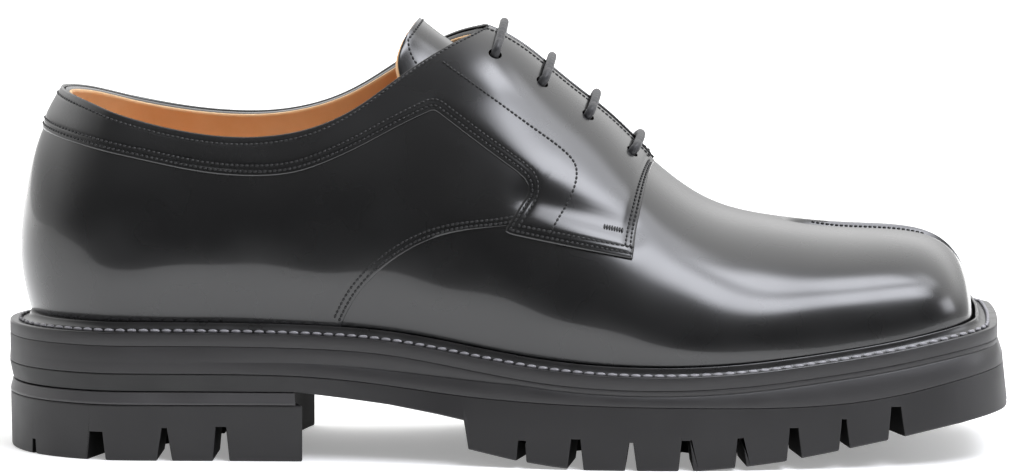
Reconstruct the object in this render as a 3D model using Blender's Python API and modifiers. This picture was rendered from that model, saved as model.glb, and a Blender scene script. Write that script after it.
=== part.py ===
"""Split toe lace-up shoe for a right foot, on a chunky lugged sole.

The shoe points along +X and stands on Z = 0, with its outer (lateral) side at -Y.
Sizes are in millimetres and become metres when a mesh is made.
"""

import math
from collections import namedtuple

import bmesh
import bpy
import numpy as np
from mathutils import Matrix, Vector

MM = 0.001
LATERAL, MEDIAL = -1, 1

# Driving dimensions
SOLE_LENGTH = 307.4
MIDDLE_X = 152.0
GAP = 0.3
WALL = 1.4
OVERLAY = 1.0
OVERLAY_GAP = 0.5
INSOLE_THICKNESS = 3.0
TONGUE_THICKNESS = 2.0
LACE_DIAMETER = 3.0
EYELET_DIAMETER = 4.2
HEEL_LENGTH = 91.3
LIFT_SETBACK = 2.2

# Heel of the last, seen from above: half an ellipse behind the first station below.
HEEL_BACK_X = 8.6
HEEL_SPINE_X = 45.0
HEEL_ROWS = 4

# One row for each section of the last, from the heel to the toe.
# edge_x, lateral and medial place the bottom edge; medial_lead moves the medial edge forward;
# spine_x, spine_y and crest place the top; belly is the height of the widest point above the
# edge and bulge how far it stands out; full is the roundness (2 is an ellipse, more is boxier).
Station = namedtuple(
    "Station",
    "edge_x lateral medial medial_lead spine_x spine_y crest belly bulge full",
)
STATIONS = [
    Station(42.0, 30.2, 30.2, 0.0, 45.0, 0.0, 126.6, 25.0, 5.6, 2.00),
    Station(70.0, 30.8, 29.2, 0.0, 70.0, 0.0, 126.2, 25.0, 5.5, 2.00),
    Station(98.0, 32.4, 27.2, 0.0, 98.0, 0.0, 128.5, 25.0, 5.2, 1.95),
    Station(122.0, 35.4, 28.0, 0.0, 122.0, 0.0, 131.5, 24.0, 4.8, 1.90),
    Station(146.0, 41.0, 33.0, 0.0, 146.0, 0.0, 129.4, 22.5, 4.4, 1.86),
    Station(165.0, 45.0, 38.6, 0.0, 165.0, 0.0, 116.6, 20.0, 4.6, 1.84),
    Station(182.0, 47.0, 43.2, 0.0, 182.0, 0.3, 102.4, 16.5, 4.8, 1.86),
    Station(197.0, 47.6, 46.2, 0.2, 197.0, 1.0, 88.0, 13.0, 4.8, 1.92),
    Station(212.0, 47.2, 47.6, 0.3, 212.0, 2.2, 76.8, 10.2, 4.6, 2.00),
    Station(228.0, 45.8, 47.6, 0.5, 228.0, 4.0, 71.2, 8.4, 4.2, 2.10),
    Station(246.0, 43.4, 46.4, 0.8, 246.0, 6.2, 68.6, 7.4, 3.6, 2.25),
    Station(264.0, 40.7, 44.9, 1.1, 264.0, 8.0, 67.2, 6.8, 3.0, 2.40),
    Station(279.0, 36.8, 41.9, 1.3, 279.5, 9.2, 65.4, 6.4, 2.6, 2.45),
    Station(287.6, 32.4, 38.6, 1.5, 288.6, 9.8, 61.0, 5.6, 2.0, 2.40),
    Station(291.8, 28.0, 35.0, 1.5, 293.4, 10.0, 54.4, 4.4, 1.4, 2.30),
    Station(293.6, 24.2, 31.6, 1.5, 295.2, 10.0, 46.6, 2.6, 0.8, 2.15),
    Station(294.4, 20.6, 28.4, 1.5, 295.6, 10.0, 38.0, 0.4, 0.2, 2.00),
]

# Height of the collar's edge above the floor, by the station's edge_x.
Collar = namedtuple("Collar", "x lateral medial")
COLLAR = [
    Collar(8.6, 110.0, 110.0),
    Collar(17.0, 108.2, 108.6),
    Collar(30.0, 104.8, 105.6),
    Collar(42.0, 101.6, 103.2),
    Collar(56.0, 98.6, 101.0),
    Collar(70.0, 97.1, 100.1),
    Collar(84.0, 97.8, 101.2),
    Collar(98.0, 101.2, 105.0),
    Collar(110.0, 107.4, 111.2),
    Collar(122.0, 115.8, 118.8),
    Collar(131.0, 121.4, 123.4),
    Collar(138.0, 124.9, 126.2),
    Collar(144.0, 127.2, 127.8),
    Collar(150.0, 129.4, 129.6),
]

# Lower edge of the stitched overlay: a band along the collar, then the lace facing.
Edge = namedtuple("Edge", "x height")
BAND = [
    Edge(8.6, 97.8),
    Edge(42.0, 90.6),
    Edge(62.0, 86.8),
    Edge(80.0, 85.9),
    Edge(98.0, 89.8),
    Edge(116.0, 98.8),
    Edge(130.0, 105.2),
    Edge(143.0, 97.5),
    Edge(154.0, 88.6),
]
FACING = [
    Edge(154.0, 88.6),
    Edge(157.4, 83.6),
    Edge(157.9, 73.0),
    Edge(159.0, 69.6),
    Edge(175.0, 65.6),
    Edge(191.0, 62.4),
]

# Throat: the slot between the two facings.
THROAT_HALF_GAP = 6.5
THROAT_FRONT_X = 192.0
FACING_FRONT_X = 197.0
FACING_SLANT = 6.0
FACING_SLANT_FROM = 88.0
FACING_SLANT_TO = 63.0
LACE_CORNER_X = 150.0

# Eyelets and lace bars, one row each from the top down.
EYELET_X = (148.5, 162.5, 176.3, 189.6)
EYELET_FROM_CENTRE = 18.0
BAR_LEAN = 1.5

# The split between the big toe and the other toes.
CLEFT_START_X = 236.0
CLEFT_RUN = 20.0
CLEFT_DEPTH = 6.5
CLEFT_LATERAL_REACH = 10.0
CLEFT_MEDIAL_REACH = 5.5

# Heights of the sole's layers above the floor, and how far they stand out from the last.
Layer = namedtuple("Layer", "x welt_top rib midsole_bottom welt_reach step flare")
LAYERS = [
    Layer(8.6, 38.2, 30.2, 26.6, 9.8, 0.2, -0.9),
    Layer(42.0, 38.2, 30.2, 26.6, 8.9, 0.2, -0.9),
    Layer(72.0, 38.1, 30.1, 26.5, 8.6, 0.2, -0.8),
    Layer(95.0, 37.6, 29.8, 25.8, 7.9, 0.2, -0.5),
    Layer(117.0, 36.2, 28.2, 23.8, 7.4, 0.2, 0.3),
    Layer(139.0, 33.0, 26.3, 21.4, 7.0, 0.2, 1.0),
    Layer(168.0, 28.6, 24.3, 19.6, 7.0, 0.2, 1.3),
    Layer(190.0, 27.2, 23.6, 19.0, 7.0, 0.3, 1.4),
    Layer(206.0, 27.2, 23.6, 18.8, 7.0, 0.4, 1.4),
    Layer(227.0, 28.5, 24.7, 18.6, 7.0, 0.6, 1.4),
    Layer(248.0, 31.0, 26.9, 19.2, 6.9, 0.9, 1.4),
    Layer(269.0, 34.2, 30.4, 21.9, 6.7, 1.2, 1.4),
    Layer(285.0, 37.4, 33.8, 25.8, 6.8, 1.5, 1.4),
    Layer(307.0, 42.2, 38.6, 32.6, 7.8, 1.8, 1.4),
]

# Underside of the outsole: heel seat, rising shank, step and rockered tread.
Tread = namedtuple("Tread", "x height")
TREAD = [
    Tread(0.0, 21.2),
    Tread(90.0, 21.0),
    Tread(103.0, 19.6),
    Tread(119.0, 17.8),
    Tread(134.0, 15.4),
    Tread(142.0, 13.9),
    Tread(143.4, 5.2),
    Tread(157.0, 2.4),
    Tread(168.0, 0.8),
    Tread(176.0, 0.0),
    Tread(210.0, 0.0),
    Tread(222.0, 1.0),
    Tread(234.0, 2.5),
    Tread(248.0, 5.0),
    Tread(268.0, 9.0),
    Tread(284.0, 12.6),
    Tread(304.0, 17.6),
]

WELT_THICKNESS = 3.2
WELT_RIDGE = 3.3
WELT_RIDGE_WIDTH = 1.3
RIB_BELOW_TOP = 1.7
HEEL_LIFT_TOP = 20.7
HEEL_LIFT_BOTTOM = 17.2
HEEL_BREAST_RADIUS = 120.0
HEEL_BREAST_Y = -1.2
FRONT_BOW = 0.8
FRONT_POINTS = 4

# Tread grooves that open at the side walls.
Groove = namedtuple("Groove", "x width_floor width_top depth")
FOREFOOT_GROOVES = [
    Groove(159.0, 3.0, 2.0, 6.0),
    Groove(174.5, 4.8, 2.6, 9.0),
    Groove(190.4, 3.6, 1.2, 8.4),
    Groove(206.2, 4.4, 2.4, 9.0),
    Groove(222.0, 3.4, 1.2, 8.6),
    Groove(237.6, 4.4, 2.4, 9.4),
    Groove(252.6, 3.2, 1.2, 9.0),
    Groove(267.6, 5.0, 2.8, 9.4),
]
HEEL_GROOVES = [
    Groove(15.5, 1.9, 1.3, 4.4),
    Groove(31.4, 5.8, 4.0, 8.6),
    Groove(49.6, 4.6, 1.4, 10.0),
    Groove(66.8, 5.0, 3.0, 10.4),
]
TOE_GROOVE_Y = (-16.0, 4.0, 24.0)
TOE_GROOVE = Groove(295.5, 4.4, 2.4, 8.0)
GROOVE_REACH = 11.5

# Middle of the tread: a pocket inside the rim of lugs, with cross shaped lugs standing in it.
POCKET_INSET = 13.0
POCKET_DEPTH = 6.0
POCKET_X = (156.0, 274.0)
HEEL_POCKET_X = (27.0, 78.0)
CROSS_SPAN = 22.0
Cross = namedtuple("Cross", "x y")
FOREFOOT_CROSSES = [
    Cross(176.0, -14.0),
    Cross(176.0, 14.0),
    Cross(206.0, -16.0),
    Cross(206.0, 16.0),
    Cross(236.0, -13.0),
    Cross(236.0, 16.0),
    Cross(264.0, 3.0),
]
HEEL_CROSSES = [Cross(48.0, 0.0)]

# Tongue: one row for each fold line across it, from under the vamp to its free end.
# x, y and z place its middle; drop is how far its sides hang below the middle.
Fold = namedtuple("Fold", "x y z half_width drop")
TONGUE = [
    Fold(205.0, 0.5, 78.4, 17.0, 5.0),
    Fold(196.0, 0.0, 85.0, 20.0, 6.5),
    Fold(180.0, -1.0, 96.6, 22.0, 9.0),
    Fold(163.0, -2.0, 107.0, 22.0, 11.5),
    Fold(146.0, -2.6, 117.6, 21.0, 14.5),
    Fold(134.0, -3.0, 125.4, 20.0, 18.0),
    Fold(127.6, -3.0, 130.2, 18.0, 12.8),
    Fold(125.4, -3.0, 131.9, 14.0, 6.7),
]
TONGUE_ARCH = math.radians(70.0)


def spline(knots, values, at, level_start=False):
    """Cubic spline through the values; level_start gives it no slope at the first knot."""
    knots, values = np.asarray(knots, float), np.asarray(values, float)
    count, step = len(knots), np.diff(knots)
    system, right = np.eye(count), np.zeros(count)
    slope = np.diff(values) / step
    for i in range(1, count - 1):
        system[i, i - 1 : i + 2] = step[i - 1], 2 * (step[i - 1] + step[i]), step[i]
        right[i] = 6 * (slope[i] - slope[i - 1])
    if level_start:
        system[0, :2] = 2 * step[0], step[0]
        right[0] = 6 * slope[0]
    bend = np.linalg.solve(system, right)
    at = np.clip(at, knots[0], knots[-1])
    i = np.clip(np.searchsorted(knots, at, side="right") - 1, 0, count - 2)
    a = (knots[i + 1] - at) / step[i]
    b = 1 - a
    curve = (a**3 - a) * bend[i] + (b**3 - b) * bend[i + 1]
    return a * values[i] + b * values[i + 1] + curve * step[i] ** 2 / 6


def with_heel(stations):
    """The stations with the rounded heel's rows put in front of them."""
    side = stations[0]
    rows = []
    for i in range(HEEL_ROWS):
        angle = math.pi / 2 * i / HEEL_ROWS
        rows.append(
            side._replace(
                edge_x=side.edge_x - (side.edge_x - HEEL_BACK_X) * math.cos(angle),
                lateral=side.lateral * math.sin(angle),
                medial=side.medial * math.sin(angle),
                spine_x=HEEL_SPINE_X,
                crest=side.crest + 1.2 * math.cos(angle),
            )
        )
    return rows + stations


ROWS = with_heel(STATIONS)
ROW_NUMBERS = np.arange(len(ROWS))
LAST_ROW = len(ROWS) - 1
ODD_COLUMNS = ("lateral", "medial")


def station(row, column):
    """One column of the last's table at a row number, which may lie between two rows."""
    values = [getattr(r, column) for r in ROWS]
    return spline(ROW_NUMBERS, values, row, level_start=column not in ODD_COLUMNS)


FINE_ROWS = np.linspace(0, LAST_ROW, 1200)
FINE_EDGE_X = np.maximum.accumulate(station(FINE_ROWS, "edge_x"))


def row_at(x):
    """The row number whose bottom edge is at x."""
    return np.interp(x, FINE_EDGE_X, FINE_ROWS)


def layer(x, column):
    """A height or width of the sole's layers at x."""
    return spline([r.x for r in LAYERS], [getattr(r, column) for r in LAYERS], x)


def tread(x):
    """Height of the outsole's underside at x."""
    return np.interp(x, [r.x for r in TREAD], [r.height for r in TREAD])


LOWER_SHARE = 0.25


def frame_of(row, side):
    """Sizes of one side of a section: its edge, spine, heights and roundness."""
    half = np.where(side < 0, -station(row, "lateral"), station(row, "medial"))
    lead = np.where(side < 0, 0.0, station(row, "medial_lead"))
    spine = np.stack([station(row, "spine_x"), station(row, "spine_y")], -1)
    edge = np.stack([station(row, "edge_x") + lead, half], -1)
    edge_z = layer(edge[..., 0], "welt_top") - WELT_THICKNESS + GAP
    crest = np.maximum(station(row, "crest"), edge_z + 0.4)
    belly = np.minimum(station(row, "belly"), 0.5 * (crest - edge_z))
    return spine, edge, edge_z, crest, belly, station(row, "bulge"), station(row, "full")


def plain_point(row, turn):
    """Point of the last without its toe split. turn is -1 at the lateral edge, 0 at the crest,
    1 at the medial edge."""
    row, turn = np.broadcast_arrays(np.asarray(row, float), np.asarray(turn, float))
    spine, edge, edge_z, crest, belly, bulge, full = frame_of(row, turn)
    out = edge - spine
    reach = np.linalg.norm(out, axis=-1)
    out = out / np.maximum(reach, 1e-9)[..., None]
    rise = 1 - np.abs(turn)
    low = np.clip(rise / LOWER_SHARE, 0, 1)
    angle = np.clip((rise - LOWER_SHARE) / (1 - LOWER_SHARE), 0, 1) * math.pi / 2
    widest = reach + bulge
    away = np.where(
        rise < LOWER_SHARE,
        reach + bulge * (1 - (1 - low) ** 2),
        widest * np.clip(np.cos(angle), 0, 1) ** (2 / full),
    )
    height = np.where(
        rise < LOWER_SHARE,
        edge_z + belly * low,
        edge_z + belly + (crest - edge_z - belly) * np.sin(angle) ** (2 / full),
    )
    plan = spine + out * away[..., None]
    return np.concatenate([plan, height[..., None]], -1)


def normal_of(surface, row, turn):
    """Outward normal of a surface that takes a row and a turn."""
    d_row, d_turn = 0.02, 0.002
    ahead = surface(np.minimum(row + d_row, LAST_ROW), turn)
    behind = surface(np.maximum(row - d_row, 0), turn)
    left = surface(row, np.clip(turn - d_turn, -1, 1))
    right = surface(row, np.clip(turn + d_turn, -1, 1))
    normal = np.cross(ahead - behind, right - left)
    return normal / np.maximum(np.linalg.norm(normal, axis=-1), 1e-12)[..., None]


def cleft_depth(point, row):
    """How far the toe split pulls a point of the last inwards."""
    aside = point[..., 1] - station(row, "spine_y")
    reach = np.where(aside < 0, CLEFT_LATERAL_REACH, CLEFT_MEDIAL_REACH)
    across = np.clip(1 - np.abs(aside) / reach, 0, 1) ** 2
    along = np.clip((point[..., 0] - CLEFT_START_X) / CLEFT_RUN, 0, 1)
    return CLEFT_DEPTH * across * along * along * (3 - 2 * along)


def last_point(row, turn, offset=0.0):
    """Point of the upper's outer face, or of the face that far outside it."""
    row, turn = np.broadcast_arrays(np.asarray(row, float), np.asarray(turn, float))

    def split(r, t):
        base = plain_point(r, t)
        depth = cleft_depth(base, r)
        moved = base - normal_of(plain_point, r, t) * depth[..., None]
        moved[..., 2] = np.maximum(moved[..., 2], frame_of(r, t)[2])
        return moved

    point = split(row, turn)
    if np.any(offset):
        point = point + normal_of(split, row, turn) * np.asarray(offset)[..., None]
    return point


def turn_at_width(row, side, width):
    """The turn where a section is that wide from its spine."""
    _, edge, _, _, _, bulge, full = frame_of(row, side)
    spine = np.stack([station(row, "spine_x"), station(row, "spine_y")], -1)
    widest = np.linalg.norm(edge - spine, axis=-1) + bulge
    angle = np.arccos(np.clip(width / widest, 0, 1) ** (full / 2))
    return side * (1 - LOWER_SHARE) * (1 - angle / (math.pi / 2))


def turn_at_height(row, side, height):
    """The turn where a section reaches that height."""
    _, _, edge_z, crest, belly, _, full = frame_of(row, side)
    share = (height - edge_z - belly) / np.maximum(crest - edge_z - belly, 1e-6)
    angle = np.arcsin(np.clip(share, 0, 1) ** (full / 2))
    high = LOWER_SHARE + (1 - LOWER_SHARE) * angle / (math.pi / 2)
    low = LOWER_SHARE * np.clip((height - edge_z) / belly, 0, 1)
    return side * (1 - np.where(share > 0, high, low))


def mouth_turn(row, side):
    """The turn of the collar's or the throat's edge."""
    x = station(row, "edge_x")
    column = "lateral" if side < 0 else "medial"
    height = spline([r.x for r in COLLAR], [getattr(r, column) for r in COLLAR], x)
    throat = np.abs(turn_at_width(row, side, THROAT_HALF_GAP))
    collar = np.abs(turn_at_height(row, side, height))
    collar = np.where(x < LACE_CORNER_X, collar, 0.0)
    return side * np.maximum(collar, throat)


def add_material(name, colour, roughness):
    """A plain principled material."""
    material = bpy.data.materials.new(name)
    material.use_nodes = True
    shader = material.node_tree.nodes["Principled BSDF"]
    shader.inputs["Base Color"].default_value = (*colour, 1)
    shader.inputs["Roughness"].default_value = roughness
    shader.inputs["Metallic"].default_value = 0.0
    return material


def add_object(name, bm, material, collection):
    """Makes the bmesh an object of the collection, in metres."""
    bmesh.ops.transform(
        bm,
        matrix=Matrix.Translation((-MIDDLE_X * MM, 0, 0)) @ Matrix.Scale(MM, 4),
        verts=bm.verts,
    )
    mesh = bpy.data.meshes.new(name)
    bm.to_mesh(mesh)
    bm.free()
    mesh.shade_smooth()
    mesh.set_sharp_from_angle(angle=math.radians(40))
    if material:
        mesh.materials.append(material)
    thing = bpy.data.objects.new(name, mesh)
    collection.objects.link(thing)
    return thing


def grid_sheet(points):
    """A bmesh sheet whose grid of vertices lies on the points, given row by row."""
    rows, columns = points.shape[:2]
    bm = bmesh.new()
    bmesh.ops.create_grid(bm, x_segments=columns - 1, y_segments=rows - 1, size=1)
    bm.verts.ensure_lookup_table()
    for vert, place in zip(bm.verts, points.reshape(-1, 3)):
        vert.co = place
    return bm


def merge(bm, distance=0.01):
    bmesh.ops.remove_doubles(bm, verts=bm.verts, dist=distance)


def thicken(thing, thickness):
    """Gives a sheet its wall, on the side away from its normals."""
    wall = thing.modifiers.new("wall", "SOLIDIFY")
    wall.thickness = thickness * MM
    wall.offset = -1
    wall.use_even_offset = False
    wall.use_rim = True


def cut(thing, cutter):
    """Cuts one object out of another."""
    change = thing.modifiers.new("cut " + cutter.name, "BOOLEAN")
    change.operation = "DIFFERENCE"
    change.object = cutter
    cutter.hide_render = True
    cutter.display_type = "WIRE"


COLUMNS_LOW, COLUMNS_HIGH, COLUMNS_THROAT = 2, 9, 3


def side_turns(row, side):
    """The turns of one side's grid columns, from the bottom edge up to the mouth."""
    mouth = 1 - np.abs(mouth_turn(row, side))
    low = np.linspace(0, LOWER_SHARE, COLUMNS_LOW, endpoint=False)
    share = np.linspace(0, 1, COLUMNS_HIGH + 1)
    high = LOWER_SHARE + (mouth - LOWER_SHARE) * share
    return side * (1 - np.concatenate([low, high]))


def upper_rows():
    """Row numbers of the upper's grid, with one at each turning place of the mouth."""
    heel = np.linspace(0, HEEL_ROWS, 2 * HEEL_ROWS + 1)
    body = np.arange(HEEL_ROWS, LAST_ROW + 0.25, 0.5)[1:]
    rows = np.concatenate([heel, body])
    for x in (LACE_CORNER_X - 2.5, THROAT_FRONT_X):
        exact = float(row_at(x))
        rows[np.argmin(np.abs(rows - exact))] = exact
    return rows


def upper(material, collection):
    """The hollow upper: vamp and quarters in one wall, open at collar, throat and bottom."""
    rows = upper_rows()
    turns = []
    for row in rows:
        lateral = side_turns(row, LATERAL)
        medial = side_turns(row, MEDIAL)[::-1]
        middle = np.linspace(lateral[-1], 0, COLUMNS_THROAT + 1)[1:]
        beyond = np.linspace(0, medial[0], COLUMNS_THROAT + 1)[1:-1]
        turns.append(np.concatenate([lateral, middle, beyond, medial]))
    turns = np.array(turns)
    points = last_point(rows[:, None], turns)
    bm = grid_sheet(points)
    throat_row = int(np.argmin(np.abs(rows - row_at(THROAT_FRONT_X))))
    edge_column = COLUMNS_LOW + COLUMNS_HIGH
    columns = turns.shape[1] - 1
    bm.faces.ensure_lookup_table()
    slot = [
        bm.faces[r * columns + c]
        for r in range(throat_row)
        for c in range(edge_column, edge_column + 2 * COLUMNS_THROAT)
    ]
    bmesh.ops.delete(bm, geom=slot, context="FACES")
    merge(bm)
    bmesh.ops.recalc_face_normals(bm, faces=bm.faces)
    thing = add_object("upper", bm, material, collection)
    thicken(thing, WALL)
    return thing


def edge_loop(rows):
    """The last's bottom edge in plan as one loop (heel, lateral, toe, medial), its outward
    normals, and for each station the loop's lateral and medial place."""
    lateral = frame_of(rows, np.full(len(rows), LATERAL))[1]
    medial = frame_of(rows, np.full(len(rows), MEDIAL))[1]
    share = np.arange(1, FRONT_POINTS + 1)[:, None] / (FRONT_POINTS + 1)
    front = lateral[-1] + (medial[-1] - lateral[-1]) * share
    front[:, 0] += FRONT_BOW * 4 * share[:, 0] * (1 - share[:, 0])
    loop = np.concatenate([lateral, front, medial[:0:-1]])
    along = np.roll(loop, -1, 0) - np.roll(loop, 1, 0)
    normal = np.stack([along[:, 1], -along[:, 0]], -1)
    normal /= np.linalg.norm(normal, axis=-1)[:, None]
    half = len(rows) + FRONT_POINTS // 2
    left = np.arange(half)
    return loop, normal, left, -left % len(loop)


def side_points(loop, normal, places, profile):
    """Points down the sole's side: one row for each place, one column for each profile step."""
    x = np.clip(loop[places, 0], HEEL_BACK_X, SOLE_LENGTH)
    columns = []
    for outset, height in profile(x):
        plan = loop[places] + normal[places] * np.broadcast_to(outset, x.shape)[:, None]
        columns.append(np.column_stack([plan, np.broadcast_to(height, x.shape)]))
    return np.stack(columns, 1)


def join_sheets(sheets):
    """One closed bmesh from sheets whose borders meet."""
    bm = bmesh.new()
    for points in sheets:
        part = grid_sheet(points)
        mesh = bpy.data.meshes.new("sheet")
        part.to_mesh(mesh)
        part.free()
        bm.from_mesh(mesh)
        bpy.data.meshes.remove(mesh)
    merge(bm)
    bmesh.ops.dissolve_degenerate(bm, edges=bm.edges, dist=0.01)
    bmesh.ops.recalc_face_normals(bm, faces=bm.faces)
    if bm.calc_volume(signed=True) < 0:
        bmesh.ops.reverse_faces(bm, faces=bm.faces)
    return bm


def slab(rows, profile, first=0, last=None):
    """A layer of the sole: a loft through sections from its first to its last station."""
    loop, normal, left, right = edge_loop(rows)
    left, right = left[first:last], right[first:last]
    lateral = side_points(loop, normal, left, profile)
    medial = side_points(loop, normal, right, profile)
    ring = np.concatenate([lateral, medial[:, ::-1], lateral[:, :1]], 1)
    ends = [np.stack([lateral[i], medial[i]], 1) for i in (0, -1)]
    if first == 0:
        ends = ends[1:]
    return join_sheets([ring] + ends)


def sole_rows(extra=()):
    """Row numbers of the sole's stations, with exact ones where an edge falls."""
    rows = np.concatenate([np.linspace(0, HEEL_ROWS, 9), np.arange(HEEL_ROWS, LAST_ROW, 0.5)[1:]])
    exact = [float(row_at(x)) for x in extra]
    return np.unique(np.concatenate([rows, exact, [LAST_ROW]]))


def midsole_top(x):
    return layer(x, "welt_top") - WELT_THICKNESS - GAP


def midsole_profile(x):
    reach = layer(x, "welt_reach")
    rib = np.minimum(layer(x, "rib"), midsole_top(x) - RIB_BELOW_TOP)
    return [
        (reach - 0.15, midsole_top(x)),
        (reach - 0.15, rib + 0.5),
        (reach - 0.55, rib),
        (reach - 0.15, rib - 0.5),
        (reach + layer(x, "step") - 0.15, layer(x, "midsole_bottom")),
    ]


def outsole_profile(x):
    reach = layer(x, "welt_reach") + layer(x, "step")
    top = layer(x, "midsole_bottom") - GAP
    return [(reach, top), (reach + layer(x, "flare"), tread(x))]


def heel_lift_profile(x):
    reach = layer(x, "welt_reach") + 0.1
    return [(reach - 0.8, HEEL_LIFT_TOP), (reach, HEEL_LIFT_BOTTOM + 0.6), (reach, HEEL_LIFT_BOTTOM)]


def heel_block_profile(x):
    reach = layer(x, "welt_reach")
    return [(reach, HEEL_LIFT_BOTTOM - GAP), (reach - 0.2, 0.0)]


def insole_profile(x):
    back = np.clip((x - 262.0) / 26.0, 0, 1)
    inset = WALL + 0.7 + 8.0 * back * back * (3 - 2 * back)
    base = midsole_top(x) + GAP
    return [(-inset, base + INSOLE_THICKNESS), (-inset, base)]


def pocket_profile(x):
    return [(-POCKET_INSET, tread(x) + POCKET_DEPTH), (-POCKET_INSET, tread(x) - 4.0)]


def heel_pocket_profile(x):
    return [(-POCKET_INSET, np.full_like(x, POCKET_DEPTH)), (-POCKET_INSET, np.full_like(x, -4.0))]


def welt(material, collection):
    """The stitched strip round the upper: a flat shelf with a raised ridge along its inside."""
    loop, normal, _, _ = edge_loop(sole_rows())
    x = np.clip(loop[:, 0], HEEL_BACK_X, SOLE_LENGTH)
    row = np.clip(row_at(np.minimum(loop[:, 0], FINE_EDGE_X[-1])), 0, LAST_ROW)
    height = np.clip((WELT_THICKNESS + WELT_RIDGE) / station(row, "belly"), 0, 1)
    inside = station(row, "bulge") * (1 - (1 - height) ** 2) + GAP + 0.15
    top, reach = layer(x, "welt_top"), layer(x, "welt_reach")
    section = [
        (inside, top - WELT_THICKNESS),
        (inside, top + WELT_RIDGE),
        (inside + WELT_RIDGE_WIDTH, top + WELT_RIDGE - 0.3),
        (inside + WELT_RIDGE_WIDTH + 0.7, top + 0.3),
        (reach, top),
        (reach, top - WELT_THICKNESS),
        (inside, top - WELT_THICKNESS),
    ]
    columns = [np.column_stack([loop + normal * out[:, None], z]) for out, z in section]
    points = np.stack(columns, 1)
    bm = join_sheets([np.concatenate([points, points[:1]])])
    return add_object("welt", bm, material, collection)


def wedge(bm, place, outward, sizes, floor):
    """A tapered groove cutter that runs inwards from a side wall."""
    made = bmesh.ops.create_cube(bm, size=1.0)["verts"]
    along = np.array([-outward[1], outward[0]])
    for vert in made:
        run = (vert.co.x + 0.5) * (GROOVE_REACH + 14.0) - GROOVE_REACH
        low = vert.co.z < 0
        height = floor - 4.0 if low else floor + sizes.depth
        slope = (sizes.width_floor - sizes.width_top) / sizes.depth
        width = sizes.width_floor + 4.0 * slope if low else sizes.width_top
        plan = place + outward * run + along * vert.co.y * width
        vert.co = (plan[0], plan[1], height)


def edge_normal(row, side):
    """A point of the last's bottom edge and its outward direction in plan."""
    ahead, behind = (frame_of(np.array(row + d), np.array(side))[1] for d in (0.05, -0.05))
    along = (ahead - behind) * -side
    outward = np.array([along[1], -along[0]]) * -1
    return (ahead + behind) / 2, outward / np.linalg.norm(outward)


def groove_cutter(name, grooves, toe_grooves, ground, collection):
    """All the grooves of one tread as a single cutter."""
    bm = bmesh.new()
    for groove in grooves:
        for side in (LATERAL, MEDIAL):
            place, outward = edge_normal(float(row_at(groove.x)), side)
            wedge(bm, place, outward, groove, float(ground(groove.x)))
    for y in toe_grooves:
        place = np.array([TOE_GROOVE.x, y])
        wedge(bm, place, np.array([1.0, 0.0]), TOE_GROOVE, float(ground(SOLE_LENGTH)))
    bmesh.ops.recalc_face_normals(bm, faces=bm.faces)
    return add_object(name, bm, None, collection)


def cross_lugs(name, crosses, ground, collection):
    """Cross shaped lugs, tilted to follow the tread and sunk into the pocket's floor."""
    bm = bmesh.new()
    for lug in crosses:
        made = bmesh.ops.create_grid(bm, x_segments=3, y_segments=3, size=CROSS_SPAN / 2)["verts"]
        faces = {f for v in made for f in v.link_faces}
        corners = [f for f in faces if min(map(abs, f.calc_center_median()[:2])) > CROSS_SPAN / 4]
        bmesh.ops.delete(bm, geom=corners, context="FACES")
        faces = list(faces - set(corners))
        raised = bmesh.ops.extrude_face_region(bm, geom=faces)["geom"]
        top = [v for v in raised if isinstance(v, bmesh.types.BMVert)]
        bmesh.ops.translate(bm, verts=top, vec=(0, 0, POCKET_DEPTH + 1.0))
        whole = {v for f in faces for v in f.verts} | set(top)
        back, ahead = (float(ground(lug.x + step)) for step in (-8.0, 8.0))
        pitch = math.atan2(ahead - back, 16.0)
        place = Matrix.Translation((lug.x, lug.y, (back + ahead) / 2 + 0.2))
        turn = Matrix.Rotation(-pitch, 4, "Y") @ Matrix.Rotation(math.pi / 4, 4, "Z")
        bmesh.ops.transform(bm, matrix=place @ turn, verts=list(whole))
    bmesh.ops.recalc_face_normals(bm, faces=bm.faces)
    return add_object(name, bm, None, collection)


def join(thing, other):
    """Joins a second object's solid to the first."""
    change = thing.modifiers.new("join " + other.name, "BOOLEAN")
    change.operation = "UNION"
    change.object = other
    other.hide_render = True
    other.display_type = "WIRE"


def flat_ground(x):
    return np.zeros_like(np.asarray(x, float))


def station_span(rows, x_range):
    """First and last station whose edge lies within the range."""
    x = station(rows, "edge_x")
    inside = np.flatnonzero((x >= x_range[0]) & (x <= x_range[1]))
    return inside[0], inside[-1] + 1


def outsole(material, collection, cutters):
    rows = sole_rows([r.x for r in TREAD if 80 < r.x < 290])
    thing = add_object("outsole", slab(rows, outsole_profile), material, collection)
    first, last = station_span(rows, POCKET_X)
    pocket = slab(rows, pocket_profile, first, last)
    cut(thing, groove_cutter("tread_grooves", FOREFOOT_GROOVES, TOE_GROOVE_Y, tread, cutters))
    cut(thing, add_object("tread_pocket", pocket, None, cutters))
    join(thing, cross_lugs("tread_crosses", FOREFOOT_CROSSES, tread, cutters))
    return thing


def breast_cutter(name, corner_x, collection):
    """An upright cylinder that hollows the heel's front face between its two corners."""
    radius = HEEL_BREAST_RADIUS
    bm = bmesh.new()
    bmesh.ops.create_cone(bm, cap_ends=True, segments=96, radius1=radius, radius2=radius, depth=80)
    half_width = station(row_at(corner_x), "lateral") + layer(corner_x, "welt_reach")
    centre = corner_x + math.sqrt(radius**2 - (half_width + HEEL_BREAST_Y) ** 2)
    bmesh.ops.translate(bm, verts=bm.verts, vec=(centre, HEEL_BREAST_Y, 0))
    return add_object(name, bm, None, collection)


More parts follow.
